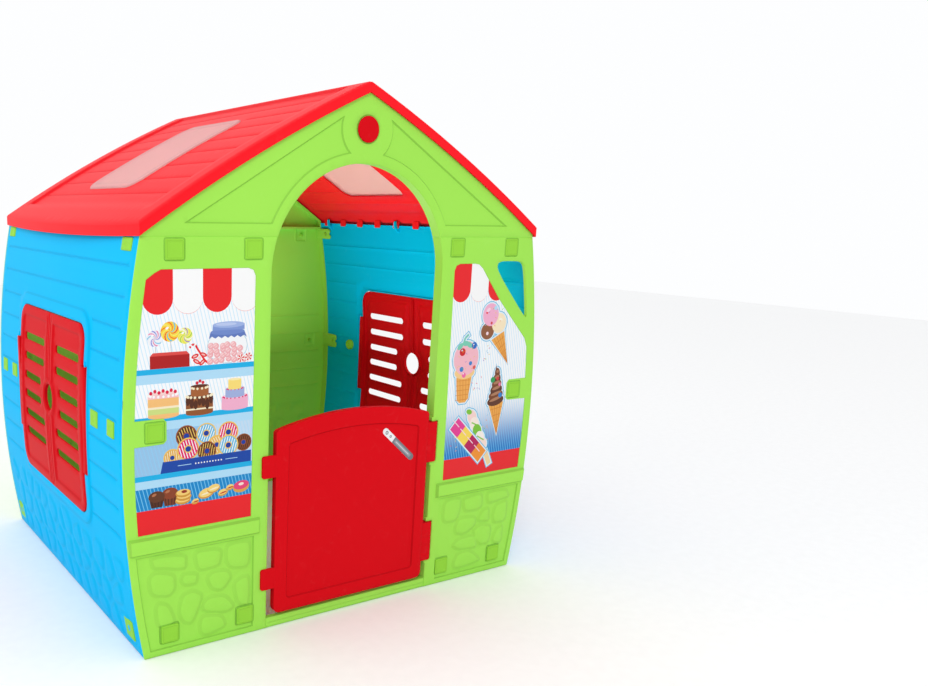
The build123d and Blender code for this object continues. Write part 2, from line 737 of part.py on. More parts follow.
def skylight_plate(side, outer, inner, grow, mode=Mode.ADD):
    """Curved plate with the skylight's rounded plan, larger all round by grow."""
    near, far = skylight_near - grow, skylight_far + grow
    with BuildPart(mode=Mode.PRIVATE) as plate:
        roof_plate(side, outer, inner, skylight_half + grow + skin, near - skin, far + skin)
        with BuildSketch(Plane.XY):
            with Locations((side * (near + far) / 2, 0)):
                RectangleRounded(far - near, 2 * (skylight_half + grow), skylight_corner + grow)
        extrude(amount=2 * ridge_height, mode=Mode.INTERSECT)
    add(plate.part, mode=mode)


for side, name in ((-1, "left"), (1, "right")):
    half_length = back_face + roof_rim
    reach = eave_half + eave_bow + skin
    field_half = half_length - border_end
    field_far = eave_half - border_eave

    with BuildPart() as hollow:
        roof_plate(side, skin, 2 * rim_drop, half_length - roof_rim, 0, reach)
        with BuildSketch(Plane.XY):
            roof_plan(side, 0, skin, half_length - roof_rim)
        extrude(amount=2 * ridge_height, mode=Mode.INTERSECT)

    with BuildPart() as opening:
        skylight_plate(side, -rim_drop, 2 * rim_drop, 0)

    with BuildPart() as roof_panel:
        roof_plate(side, 0, rim_drop, half_length, 0, reach)
        with BuildSketch(Plane.XY):
            roof_plan(side, 0, 0, half_length)
        extrude(amount=2 * ridge_height, mode=Mode.INTERSECT)
        add(hollow.part, mode=Mode.SUBTRACT)
        roof_plate(side, skin - 1, field_drop + skin, field_half + skin, border_ridge - skin,
                   field_far + skin)
        with BuildSketch(Plane.XZ.offset(-field_half)):
            roof_band(side, -rim_drop, field_drop, border_ridge, field_far)
        extrude(amount=2 * field_half, mode=Mode.SUBTRACT)
        add(opening.part, mode=Mode.SUBTRACT)
        tab_face = wall_x(wall_height, skin) - fit_gap - tab_thick / 2
        first = -(roof_tab_count - 1) / 2 * roof_tab_step
        with BuildSketch(Plane.XY.offset(roof_tab_low)):
            with Locations(*[(side * tab_face, first + n * roof_tab_step) for n in range(roof_tab_count)]):
                Rectangle(tab_thick, roof_tab_length)
        extrude(amount=roof_z(tab_face, skin / 2) - roof_tab_low)
    roof_panel.part.label = f"roof_panel_{name}"
    export_step(roof_panel.part, f"parts/roof_panel_{name}.step")

    with BuildPart() as skylight:
        skylight_plate(side, field_drop - fit_gap - skylight_proud, field_drop - fit_gap, skylight_lip)
        skylight_plate(side, field_drop - 1, field_drop + skylight_sheet, -skylight_fit)
        skylight_plate(side, field_drop - fit_gap, 2 * rim_drop, -skylight_fit - skin, Mode.SUBTRACT)
    skylight.part.label = f"skylight_{name}"
    export_step(skylight.part, f"parts/skylight_{name}.step")
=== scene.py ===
import math
import random

import bpy
import numpy as np
from mathutils import Matrix, Vector
from mathutils.geometry import delaunay_2d_cdt
from mathutils.kdtree import KDTree


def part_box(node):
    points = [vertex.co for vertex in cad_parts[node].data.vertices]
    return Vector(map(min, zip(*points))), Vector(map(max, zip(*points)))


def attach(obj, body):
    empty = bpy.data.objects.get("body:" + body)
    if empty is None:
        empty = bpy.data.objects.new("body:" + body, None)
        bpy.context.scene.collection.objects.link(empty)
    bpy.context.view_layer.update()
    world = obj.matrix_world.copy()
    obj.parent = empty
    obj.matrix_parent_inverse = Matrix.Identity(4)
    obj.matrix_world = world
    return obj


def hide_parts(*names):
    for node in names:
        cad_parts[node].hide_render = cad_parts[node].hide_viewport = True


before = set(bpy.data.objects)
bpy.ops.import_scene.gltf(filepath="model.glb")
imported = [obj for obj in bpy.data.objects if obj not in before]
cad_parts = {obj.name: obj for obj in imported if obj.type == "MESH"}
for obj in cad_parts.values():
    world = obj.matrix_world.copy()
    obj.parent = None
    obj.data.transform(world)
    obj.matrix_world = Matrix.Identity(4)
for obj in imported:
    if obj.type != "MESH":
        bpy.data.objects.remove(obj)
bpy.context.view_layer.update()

mm = 0.001


# ---------------------------------------------------------------------------
# Studio: a pale floor, soft light from large panels, and a standing viewpoint
# a little to the left of the doorway. Nothing here is part of the playhouse.
eye = Vector((-1.04706, -1.84561, 0.83987))
look_yaw, look_pitch, look_roll = math.radians(-31.093), math.radians(-12.702), math.radians(1.081)
ahead = Vector((-math.sin(look_yaw) * math.cos(look_pitch), math.cos(look_yaw) * math.cos(look_pitch),
                math.sin(look_pitch)))
level = ahead.cross(Vector((0, 0, 1))).normalized()
overhead = level.cross(ahead)
camera_right = level * math.cos(look_roll) + overhead * math.sin(look_roll)
camera_up = overhead * math.cos(look_roll) - level * math.sin(look_roll)
camera_data = bpy.data.cameras.new("viewpoint")
camera_data.sensor_width = 36.0
camera_data.lens = 33.302
camera_data.shift_x = 0.2038
camera_data.shift_y = 0.0682
viewpoint = bpy.data.objects.new("viewpoint", camera_data)
turn = Matrix((camera_right, camera_up, -ahead)).transposed()
viewpoint.matrix_world = Matrix.Translation(eye) @ turn.to_4x4()
bpy.context.collection.objects.link(viewpoint)
bpy.context.scene.camera = viewpoint
bpy.context.scene.view_settings.view_transform = "Standard"

world = bpy.data.worlds.new("studio")
world.use_nodes = True
world.node_tree.nodes["Background"].inputs["Color"].default_value = (0.985, 0.992, 1.0, 1)
world.node_tree.nodes["Background"].inputs["Strength"].default_value = 1.0
bpy.context.scene.world = world


def light_panel(name, place, aim, size, watts, colour=(1, 1, 1)):
    """Square soft box that faces a point."""
    data = bpy.data.lights.new(name, "AREA")
    data.size = size
    data.energy = watts
    data.color = colour
    lamp = bpy.data.objects.new(name, data)
    lamp.location = place
    lamp.rotation_euler = (Vector(aim) - Vector(place)).to_track_quat("-Z", "Y").to_euler()
    bpy.context.collection.objects.link(lamp)


light_panel("key_panel", (-2.2, -3.0, 3.0), (0, 0, 0.5), 1.2, 44)
light_panel("side_panel", (-3.4, 0.4, 2.2), (0, 0, 0.5), 1.4, 16)
light_panel("inner_panel", (0, 0, 0.42), (0, 0, 1), 0.5, 3.6)
light_panel("inner_glow", (0.2, -0.38, 0.55), (0.36, 0.44, 0.5), 0.3, 1.1, (0.35, 1.0, 0.5))


def pale_paper():
    """Backdrop paper: nearly white, with a faint fibre."""
    paper = bpy.data.materials.new("pale_paper")
    paper.use_nodes = True
    nodes, links = paper.node_tree.nodes, paper.node_tree.links
    shader = nodes["Principled BSDF"]
    place = nodes.new("ShaderNodeTexCoord")
    fibre = nodes.new("ShaderNodeTexNoise")
    fibre.inputs["Scale"].default_value = 40
    tint = nodes.new("ShaderNodeValToRGB")
    tint.color_ramp.elements[0].color = (0.90, 0.90, 0.90, 1)
    tint.color_ramp.elements[1].color = (0.95, 0.95, 0.95, 1)
    links.new(place.outputs["Object"], fibre.inputs["Vector"])
    links.new(fibre.outputs["Fac"], tint.inputs["Fac"])
    links.new(tint.outputs["Color"], shader.inputs["Base Color"])
    shader.inputs["Roughness"].default_value = 0.9
    return paper


floor_mesh = bpy.data.meshes.new("floor")
floor_reach, floor_low = 8, -0.001
floor_mesh.from_pydata([(x * floor_reach, y * floor_reach, floor_low)
                        for x, y in ((-1, -1), (1, -1), (1, 1), (-1, 1))], [], [(0, 1, 2, 3)])
floor_mesh.materials.append(pale_paper())
floor = bpy.data.objects.new("floor", floor_mesh)
bpy.context.collection.objects.link(floor)


# ---------------------------------------------------------------------------
# Side walls: two bulging blue skins, injection moulded in one piece each, with
# lap lines, a stone course at the foot and a raised frame round the window.
front_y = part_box("back_gable")[1][1] * -1000
back_y = -front_y
wall_half_foot, wall_half_belly, wall_half_top, seam_z = 480.0, 516.0, 476.0, 796.0
wall_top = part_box("side_wall_left")[1][2] * 1000
skin = 3.0
wall_sag = wall_half_belly - (wall_half_foot + wall_half_top) / 2
wall_chord = math.hypot(wall_half_top - wall_half_foot, seam_z)
wall_radius = ((wall_chord / 2) ** 2 + wall_sag**2) / (2 * wall_sag)
wall_cx = (wall_half_foot + wall_half_top) / 2 + (wall_sag - wall_radius) * seam_z / wall_chord
wall_cz = seam_z / 2 - (wall_sag - wall_radius) * (wall_half_top - wall_half_foot) / wall_chord


def wall_x(z, inset=0.0):
    """Half width of the house at a height, inset mm inside the outer face."""
    return wall_cx + np.sqrt((wall_radius - inset) ** 2 - (np.asarray(z, float) - wall_cz) ** 2)


def on_wall(side):
    """Lays flat (y, z) points with a height off the skin onto the bulging wall."""
    def place(flat, height):
        rise = (flat[:, 1] - wall_cz) / wall_radius
        run = np.sqrt(1 - rise**2)
        reach = wall_radius + height
        return np.stack([side * (wall_cx + reach * run), flat[:, 0], wall_cz + reach * rise], 1) * mm
    return place


def resampled(loop, step, closed=True):
    """The loop's points with its long runs divided into steps."""
    loop = np.asarray(loop, float)
    ends = np.roll(loop, -1, 0) if closed else loop[1:]
    points = []
    for start, end in zip(loop, ends):
        count = max(1, int(np.ceil(np.linalg.norm(end - start) / step)))
        for n in range(count):
            points.append(start + (end - start) * n / count)
    if not closed:
        points.append(loop[-1])
    return np.array(points)


def softened(loop, rounds=2, cut=0.25):
    """Closed outline with its corners cut again and again until they are round."""
    loop = np.asarray(loop, float)
    for _ in range(rounds):
        after = np.roll(loop, -1, 0)
        loop = np.stack([loop * (1 - cut) + after * cut, loop * cut + after * (1 - cut)], 1).reshape(-1, 2)
    return loop


def arc(cx, cz, radius, start, end, count):
    """Points along an arc, in degrees."""
    return [(cx + radius * math.cos(math.radians(a)), cz + radius * math.sin(math.radians(a)))
            for a in np.linspace(start, end, count)]


def round_box(x0, z0, x1, z1, radius, segments=8):
    """Rectangle with round corners, anticlockwise."""
    points = []
    for cx, cz, start in ((x1 - radius, z1 - radius, 0), (x0 + radius, z1 - radius, 90),
                          (x0 + radius, z0 + radius, 180), (x1 - radius, z0 + radius, 270)):
        points += arc(cx, cz, radius, start, start + 90, segments + 1)
    return np.array(points)


def ring(cx, cz, radius, segments=48):
    """Circle, anticlockwise."""
    angles = np.arange(segments) * 2 * math.pi / segments
    return np.stack([cx + radius * np.cos(angles), cz + radius * np.sin(angles)], 1)


def area_of(loop):
    """Signed area of a closed outline: positive when it runs anticlockwise."""
    x, z = loop[:, 0], loop[:, 1]
    return 0.5 * np.sum(x * np.roll(z, -1) - np.roll(x, -1) * z)


def inset(loop, amount):
    """Outline moved inwards by an amount, or outwards when it is negative."""
    loop = np.asarray(loop, float)
    if area_of(loop) < 0:
        amount = -amount
    before = loop - np.roll(loop, 1, 0)
    after = np.roll(loop, -1, 0) - loop
    before /= np.linalg.norm(before, axis=1, keepdims=True) + 1e-9
    after /= np.linalg.norm(after, axis=1, keepdims=True) + 1e-9
    normal = np.stack([-(before[:, 1] + after[:, 1]), before[:, 0] + after[:, 0]], 1)
    half = np.maximum(np.sum(normal**2, 1, keepdims=True) / 2, 0.6)
    return loop + normal * amount / half


def distance_to(points, loop, closed=True):
    """Distance from each point to an outline or an open line."""
    start = np.asarray(loop, float)
    end = np.roll(start, -1, 0) if closed else start[1:]
    start = start if closed else start[:-1]
    best = np.full(len(points), 1e9)
    for a, b in zip(start, end):
        run = b - a
        along = np.clip(((points - a) @ run) / (run @ run + 1e-12), 0, 1)
        gap = points - a - along[:, None] * run
        best = np.minimum(best, np.einsum("ij,ij->i", gap, gap))
    return np.sqrt(best)


def inside(points, loop):
    """True for each point within a closed outline."""
    x, z = points[:, 0], points[:, 1]
    crossing = np.zeros(len(points), bool)
    for (x0, z0), (x1, z1) in zip(loop, np.roll(loop, -1, 0)):
        if z0 != z1:
            between = (z0 > z) != (z1 > z)
            crossing ^= between & (x < (x1 - x0) * (z - z0) / (z1 - z0) + x0)
    return crossing


def depth_in(points, loop):
    """Distance inside a closed outline, negative outside it."""
    near = ((points >= loop.min(0) - 30) & (points <= loop.max(0) + 30)).all(1)
    depth = np.full(len(points), -30.0)
    if near.any():
        some = points[near]
        depth[near] = distance_to(some, loop) * np.where(inside(some, loop), 1, -1)
    return depth


def ease(value):
    """Smooth step from 0 to 1."""
    value = np.clip(value, 0, 1)
    return value * value * (3 - 2 * value)


def raised(points, loop, height, bevel):
    """Height of a raised field whose edge slopes over the bevel inside its outline."""
    return height * ease(depth_in(points, loop) / bevel)


def groove(points, line, depth, width):
    """Height of a round-bottomed line pressed into a skin."""
    return -depth * (1 - ease(distance_to(points, line, closed=False) / width * 2))


def steepness(flat, faces, height):
    """How steep the relief is on each face: marks the creases where shade is painted."""
    a, b, c = flat[faces[:, 0]], flat[faces[:, 1]], flat[faces[:, 2]]
    rise_b, rise_c = height[faces[:, 1]] - height[faces[:, 0]], height[faces[:, 2]] - height[faces[:, 0]]
    u, v = b - a, c - a
    spread = u[:, 0] * v[:, 1] - u[:, 1] * v[:, 0]
    slope_x = (rise_b * v[:, 1] - rise_c * u[:, 1]) / spread
    slope_z = (rise_c * u[:, 0] - rise_b * v[:, 0]) / spread
    return np.clip(np.hypot(slope_x, slope_z), 0, 1)


def level_relief(height):
    """Relief of a skin that is plain, at one height."""
    return lambda flat: np.full(len(flat), float(height))


def triangulated(points, edges, rims, least=0.0):
    """Anticlockwise triangles inside the first outline and outside the others."""
    found = delaunay_2d_cdt([Vector(p) for p in points], edges, [], 0, 1e-4)
    flat = np.array([tuple(v) for v in found[0]])
    faces = np.array([f for f in found[2] if len(f) == 3])
    middle = flat[faces].mean(1)
    keep = inside(middle, rims[0])
    for rim in rims[1:]:
        keep &= ~inside(middle, rim)
    faces = faces[keep]
    corner = flat[faces]
    spread = np.cross(corner[:, 1] - corner[:, 0], corner[:, 2] - corner[:, 0])
    wide = np.abs(spread) >= least
    faces, spread = faces[wide], spread[wide]
    faces[spread < 0] = faces[spread < 0][:, ::-1]
    used, faces = np.unique(faces, return_inverse=True)
    return flat[used], faces.reshape(-1, 3)


def closed_shell(outer, inner, faces):
    """Two layers of the same triangles, joined by walls along their open edges."""
    count = len(outer)
    sides = np.concatenate([faces[:, [0, 1]], faces[:, [1, 2]], faces[:, [2, 0]]])
    _, first, uses = np.unique(np.sort(sides, 1), axis=0, return_index=True, return_counts=True)
    walls = [(b, a, a + count, b + count) for a, b in sides[first[uses == 1]]]
    every = [tuple(f) for f in faces] + [tuple(f[::-1] + count) for f in faces] + walls
    return np.concatenate([outer, inner]), every


def stacked(rings):
    """Closed solid through rings of equally many points, capped at both ends."""
    count, last = len(rings[0]), len(rings[0]) * (len(rings) - 1)
    faces = [tuple(range(count)), tuple(range(last + count - 1, last - 1, -1))]
    for base in range(0, last, count):
        faces += [(base + n, base + count + n, base + count + (n + 1) % count, base + (n + 1) % count)
                  for n in range(count)]
    return np.concatenate([np.asarray(r, float) for r in rings]), faces


def anticlockwise(outline):
    """The outline, turned round if it runs clockwise."""
    return outline if area_of(outline) > 0 else outline[::-1]


def sheet_parts(edge, holes, loops, lines, spacing, relief, place, thickness, edge_round=1.2):
    """Closed skin with relief: points follow every loop and line, so that each crease is crisp."""
    step = spacing * 0.5
    rims = [resampled(loop, step) for loop in [edge, *holes]]
    closed = list(rims)
    closed.append(inset(rims[0], edge_round * 1.4))
    closed += [inset(rim, -edge_round * 1.4) for rim in rims[1:]]
    closed += [resampled(loop, step) for loop in loops]
    open_lines = [resampled(line, step, closed=False) for line in lines]
    points, edges = [], []
    for loop in closed + open_lines:
        first = len(points)
        points += [tuple(p) for p in loop]
        last = len(points)
        edges += [(n, n + 1) for n in range(first, last - 1)]
        if any(loop is c for c in closed):
            edges.append((last - 1, first))
    low, high = rims[0].min(0), rims[0].max(0)
    row_gap = spacing * math.sqrt(3) / 2
    rows = np.arange(low[1] + row_gap / 2, high[1], row_gap)
    grid = np.array([(x, z) for n, z in enumerate(rows)
                     for x in np.arange(low[0] + (n % 2) * spacing / 2, high[0], spacing)])
    tree = KDTree(len(points))
    for n, p in enumerate(points):
        tree.insert((p[0], p[1], 0), n)
    tree.balance()
    keep = inside(grid, rims[0])
    for rim in rims[1:]:
        keep &= ~inside(grid, rim)
    grid = grid[keep]
    clear = np.array([tree.find((x, z, 0))[2] > spacing * 0.45 for x, z in grid])
    points += [tuple(p) for p in grid[clear]]
    flat, faces = triangulated(points, edges, rims, least=1e-5)
    height = relief(flat)
    steep = steepness(flat, faces, height)
    border = np.full(len(flat), 1e9)
    for rim in rims:
        border = np.minimum(border, distance_to(flat, rim))
    height = height - edge_round * (1 - ease(border / (edge_round * 1.4)))
    outer = place(flat, height)
    inner = place(flat, np.minimum(height, height + edge_round) - thickness)
    points, faces = closed_shell(outer, inner, faces)
    # Painted shade on the outer faces, by their steepness; the inner layer and the walls get none.
    shade = np.zeros(len(faces))
    shade[:len(steep)] = steep
    return points, faces, shade


def return_parts(loop, top, foot, thickness, place, step=6.0):
    """Closed band that stands behind an outline: the return at a skin's edge."""
    loop = inset(resampled(loop, step), math.copysign(0.2, thickness))
    within = inset(loop, thickness)
    count = len(loop)
    rings = [place(flat, np.full(count, float(height)))
             for flat, height in ((loop, top), (loop, foot), (within, foot), (within, top))]
    faces = []
    for n in range(count):
        m = (n + 1) % count
        for k in range(4):
            j = (k + 1) % 4
            faces.append((k * count + n, k * count + m, j * count + m, j * count + n))
    return np.concatenate(rings), faces


def outward(points, faces):
    """The faces, turned over if the closed shape is inside out."""
    volume = 0.0
    for face in faces:
        a = points[face[0]]
        for n in range(1, len(face) - 1):
            volume += np.dot(a, np.cross(points[face[n]], points[face[n + 1]]))
    return faces if volume > 0 else [face[::-1] for face in faces]


def piece(name, parts, material, sharp=40):
    """One object from closed parts, its place in its mesh."""
    points, faces, shades = [], [], []
    for part_points, part_faces, *part_shade in parts:
        base = sum(len(p) for p in points)
        points.append(np.asarray(part_points, float))
        shades.append(part_shade[0] if part_shade else np.zeros(len(part_faces)))
        faces += [tuple(int(n) + base for n in face) for face in outward(points[-1], part_faces)]
    mesh = bpy.data.meshes.new(name)
    mesh.from_pydata(np.concatenate(points).tolist(), [], faces)
    # Per-face shade attribute: the steepness that the plastics turn into painted shade on creases.
    shade = mesh.attributes.new("shade", "FLOAT", "FACE")
    shade.data.foreach_set("value", np.concatenate(shades).astype(np.float32))
    mesh.materials.append(material)
    mesh.shade_smooth()
    mesh.set_sharp_from_angle(angle=math.radians(sharp))
    made = bpy.data.objects.new(name, mesh)
    bpy.context.collection.objects.link(made)
    return made


def fit(made, body, node):
    """The piece rides a body and stands for a CAD node, which it hides."""
    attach(made, body)
    if node:
        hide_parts(node)
    return made


def surface_group():
    """Moulded-plastic surface: slow tone drift, fine die grain, faint handling marks, and painted shade on
    steep crease faces.
    """
    group = bpy.data.node_groups.new("moulded_surface", "ShaderNodeTree")
    inputs = (("Colour", "NodeSocketColor"), ("Drift", "NodeSocketFloat"), ("Marks", "NodeSocketFloat"),
              ("Grain Scale", "NodeSocketFloat"))
    for name, kind in inputs:
        group.interface.new_socket(name=name, in_out="INPUT", socket_type=kind)
    for name, kind in (("Colour", "NodeSocketColor"), ("Roughness", "NodeSocketFloat"),
                       ("Height", "NodeSocketFloat")):
        group.interface.new_socket(name=name, in_out="OUTPUT", socket_type=kind)
    nodes, links = group.nodes, group.links
    given = nodes.new("NodeGroupInput")
    result = nodes.new("NodeGroupOutput")
    place = nodes.new("ShaderNodeTexCoord")

    def noise(scale, detail):
        made = nodes.new("ShaderNodeTexNoise")
        made.inputs["Scale"].default_value = scale
        made.inputs["Detail"].default_value = detail
        links.new(place.outputs["Object"], made.inputs["Vector"])
        return made

    def maths(kind, first, second, clamp=False):
        made = nodes.new("ShaderNodeMath")
        made.operation = kind
        made.use_clamp = clamp
        for socket, value in zip(made.inputs, (first, second)):
            if isinstance(value, (int, float)):
                socket.default_value = value
            else:
                links.new(value, socket)
        return made.outputs[0]

    slow = noise(2.6, 3)
    streak = noise(34, 6)
    streak.inputs["Distortion"].default_value = 1.8
    grain = noise(700, 2)
    links.new(given.outputs["Grain Scale"], grain.inputs["Scale"])
    drift = maths("MULTIPLY", maths("SUBTRACT", slow.outputs["Fac"], 0.5), given.outputs["Drift"])
    mark = maths("MULTIPLY", maths("SUBTRACT", streak.outputs["Fac"], 0.6, True), given.outputs["Marks"])
    tone = nodes.new("ShaderNodeHueSaturation")
    links.new(given.outputs["Colour"], tone.inputs["Color"])
    # Painted shade: faces that the shade attribute marks as steep creases are darkened by up to 22 percent.
    crease = nodes.new("ShaderNodeAttribute")
    crease.attribute_name = "shade"
    painted_crease_shade = maths("SUBTRACT", 1.0, maths("MULTIPLY", crease.outputs["Fac"], 0.22))
    links.new(maths("MULTIPLY", maths("ADD", maths("ADD", drift, 1.0), mark), painted_crease_shade), tone.inputs["Value"])
    links.new(maths("SUBTRACT", 1.0, mark), tone.inputs["Saturation"])
    links.new(tone.outputs["Color"], result.inputs["Colour"])
    rough = maths("ADD", maths("MULTIPLY", grain.outputs["Fac"], 0.10), 0.34)
    links.new(maths("ADD", rough, maths("MULTIPLY", mark, 0.9)), result.inputs["Roughness"])
    swell = maths("MULTIPLY", slow.outputs["Fac"], 1.2)
    links.new(maths("ADD", maths("MULTIPLY", grain.outputs["Fac"], 0.05), swell), result.inputs["Height"])
    return group


moulded_surface = surface_group()


def plastic(name, colour, drift=0.10, marks=0.06, grain=650.0, specular=0.1):
    """Satin moulded plastic in one colour, with the die's fine grain and painted shade on its creases."""
    made = bpy.data.materials.new(name)
    made.use_nodes = True
    nodes, links = made.node_tree.nodes, made.node_tree.links
    shader = nodes["Principled BSDF"]
    surface = nodes.new("ShaderNodeGroup")
    surface.node_tree = moulded_surface
    surface.inputs["Colour"].default_value = (*colour, 1)
    surface.inputs["Drift"].default_value = drift
    surface.inputs["Marks"].default_value = marks
    surface.inputs["Grain Scale"].default_value = grain
    bump = nodes.new("ShaderNodeBump")
    bump.inputs["Strength"].default_value = 0.35
    bump.inputs["Distance"].default_value = 0.0012
    links.new(surface.outputs["Height"], bump.inputs["Height"])
    links.new(surface.outputs["Colour"], shader.inputs["Base Color"])
    links.new(surface.outputs["Roughness"], shader.inputs["Roughness"])
    links.new(bump.outputs["Normal"], shader.inputs["Normal"])
    shader.inputs["Specular IOR Level"].default_value = specular
    return made


blue_plastic = plastic("blue_plastic", (0.001, 0.45, 0.82), specular=0.015)
lap_width = (-3.2, -1.4, 0, 1.4, 3.2)
plank_step = 55.7
plank_lines = [745 - plank_step * n for n in range(10)]
plank_reach = 405.0
shutter_half, shutter_low, shutter_top, shutter_corner = 228.0, 228.0, 619.0, 38.0
ear_low, ear_top, shutter_axis_y, shutter_axis_x = 320.0, 539.0, 240.0, 513.0
window_gap, ear_room = 1.5, 9.5
trim_half, trim_low, trim_top, trim_corner, trim_proud = 256.0, 202.0, 649.0, 60.0, 3.0
window_outline = []
for y_sign, z_sign in ((1, 1), (-1, 1), (-1, -1), (1, -1)):
    corner_y = shutter_half + window_gap
    corner_z = shutter_top + window_gap if z_sign > 0 else shutter_low - window_gap
    ear_z = ear_top + window_gap if z_sign > 0 else ear_low - window_gap
    far_y = shutter_axis_y + ear_room
    bend = [(y_sign * y, corner_z + z_sign * (z - shutter_corner))
            for y, z in arc(corner_y - shutter_corner, 0, shutter_corner, 0, 90, 10)]
    leg = [(y_sign * far_y, ear_z), (y_sign * corner_y, ear_z), *bend]
    window_outline += leg if y_sign * z_sign > 0 else leg[::-1]
window_outline = np.array(window_outline)
trim_outline = round_box(-trim_half, trim_low, trim_half, trim_top, trim_corner, 12)


def cobbles(low_x, low_z, high_x, high_z, across, down, gap, seed):
    """Rounded irregular stones: cells round shaken points, shrunk to leave a joint."""
    chance = random.Random(seed)
    step_x, step_z = (high_x - low_x) / across, (high_z - low_z) / down
    seeds = []
    for row in range(-1, down + 1):
        for column in range(-1, across + 1):
            shift = 0.5 if row % 2 else 0.0
            seeds.append((low_x + (column + 0.5 + shift + chance.uniform(-0.26, 0.26)) * step_x,
                          low_z + (row + 0.5 + chance.uniform(-0.26, 0.26)) * step_z))
    stones = []
    for cx, cz in seeds:
        if not (low_x < cx < high_x and low_z < cz < high_z):
            continue
        cell = [(low_x, low_z), (high_x, low_z), (high_x, high_z), (low_x, high_z)]
        for ox, oz in seeds:
            run = np.array((ox - cx, oz - cz))
            span = np.linalg.norm(run)
            if span < 1e-6 or span > 4 * max(step_x, step_z):
                continue
            run /= span
            limit = run @ np.array((cx, cz)) + span / 2 - gap / 2
            cut = []
            for a, b in zip(cell, cell[1:] + cell[:1]):
                da, db = run @ np.array(a) - limit, run @ np.array(b) - limit
                if da <= 0:
                    cut.append(a)
                if da * db < 0:
                    t = da / (da - db)
                    cut.append((a[0] + (b[0] - a[0]) * t, a[1] + (b[1] - a[1]) * t))
            cell = cut
            if len(cell) < 3:
                break
        if len(cell) >= 3 and abs(area_of(np.array(cell))) > 500:
            stones.append(softened(cell, 3, 0.22))
    return stones


wall_stones = cobbles(-408, 8, 408, 192, 13, 3, 9, 4)
wall_stones = [s for s in wall_stones if (depth_in(s, trim_outline) < -4).all()]
hook_profile = [(float(wall_x(792, skin / 2)), 792), (466, 797), (460, 803), (457, 811), (457.5, 822),
                (460.5, 824), (462.5, 812), (466, 806), (float(wall_x(804, skin / 2)), 804)]


def hook_part(side, middle):
    """Small upturned hook inside the wall's top edge, just below the roof."""
    return stacked([[(side * x * mm, (middle + d) * mm, z * mm) for x, z in hook_profile] for d in (-4, 4)])


for side, name in ((-1, "side_wall_left"), (1, "side_wall_right")):
    plank_runs = []
    for z in plank_lines:
        if trim_low < z < trim_top:
            plank_runs += [[(s * plank_reach, z), (s * (trim_half + 3), z)] for s in (-1, 1)]
        else:
            plank_runs.append([(-plank_reach, z), (plank_reach, z)])

    def wall_relief(flat):
        height = raised(flat, trim_outline, trim_proud, 5)
        for run in plank_runs:
            height += groove(flat, np.array(run), 1.6, 6)
        for stone in wall_stones:
            height += raised(flat, stone, 2.2, 7)
        return height

    wall_edge = np.array([(front_y + skin, 0), (back_y - skin, 0), (back_y - skin, wall_top),
                          (front_y + skin, wall_top)])
    creases = [trim_outline, inset(trim_outline, 5), *wall_stones, *[inset(s, 4) for s in wall_stones],
               *[inset(s, 8) for s in wall_stones]]
    lines = []
    for (y0, z), (y1, _) in plank_runs:
        lines += [[(y0, z + d), (y1, z + d)] for d in lap_width]
    skin_part = sheet_parts(wall_edge, [window_outline], creases, lines, 12, wall_relief, on_wall(side), skin)
    window_return = return_parts(window_outline, 1.5, -5, -2.4, on_wall(side))
    hooks = [hook_part(side, middle) for middle in (37, 358)]
    wall = piece(name + "_skin", [skin_part, window_return, *hooks], blue_plastic)
    fit(wall, "house", name)


# ---------------------------------------------------------------------------
# Corner panels: four green mouldings, two each side of the doorway and two that
# make the closed back. Each has a sill, a course of stones and a folded edge.
green_plastic = plastic("green_plastic", (0.315, 0.69, 0.080))
door_opening_half, arch_center = 212.0, 725.0
sill_low, sill_high, sill_proud, sill_inset = 213.0, 247.0, 6.0, 19.0
stone_low, stone_top, stone_drop, stone_inset, stone_margin = 12.0, 209.0, 3.0, 31.0, 14.0
stone_growth, stone_swell, stone_bevel = 3.0, 2.8, 8.0
sticker_low, sticker_top, sticker_inner, sticker_margin, sticker_drop = 251.0, 740.0, 246.0, 22.0, 1.5
flange_depth = 25.0
plug_size = 36.0
plug_places = [(411.5, 774.0), (251.5, 774.0), (453.5, 446.0), (427.0, 42.0), (262.0, 42.0)]
window_corners = [(375, 744), (446, 743), (461, 732), (480, 614), (470, 616), (373, 724)]
hinge_x, hinge_barrel, hinge_notch = 215.0, 9.5, 1.5
door_hinges = [(68.0, 159.0), (303.0, 394.0)]
left_stones = [
    [(466, 207), (390, 201), (390, 168), (414, 170), (436, 177), (462, 181)],
    [(377, 203), (312, 197), (317, 162), (333, 158), (368, 157)],
    [(306, 200), (281, 205), (248, 201), (252, 143), (294, 148), (307, 166)],
    [(471, 164), (456, 176), (414, 163), (413, 131), (427, 117), (466, 127)],
    [(405, 147), (399, 161), (365, 155), (368, 131), (396, 133)],
    [(349, 141), (333, 153), (300, 149), (290, 129), (313, 104), (339, 114)],
    [(290, 116), (270, 128), (250, 126), (251, 59), (280, 68)],
    [(458, 98), (451, 112), (427, 103), (412, 60), (452, 57)],
    [(410, 81), (402, 116), (377, 123), (352, 105), (378, 48), (400, 57)],
    [(360, 85), (346, 100), (307, 98), (283, 67), (300, 55), (355, 68)],
    [(365, 45), (358, 64), (313, 56), (301, 26), (349, 16), (362, 25)],
]
right_stones = [
    [(259, 200), (293, 205), (317, 197), (306, 144), (257, 146)],
    [(317, 194), (328, 201), (381, 204), (383, 162), (325, 161)],
    [(392, 203), (459, 203), (471, 178), (439, 174), (398, 170)],
    [(417, 142), (426, 169), (467, 173), (464, 116), (421, 118)],
    [(369, 140), (385, 162), (406, 162), (409, 126), (374, 130)],
    [(297, 132), (310, 153), (364, 148), (366, 123), (328, 105), (300, 113)],
    [(354, 111), (379, 126), (419, 115), (413, 68), (376, 71)],
    [(419, 70), (432, 104), (457, 112), (456, 60)],
    [(292, 84), (310, 101), (364, 102), (376, 64), (313, 69)],
    [(298, 40), (313, 65), (354, 65), (398, 27), (304, 21)],
]


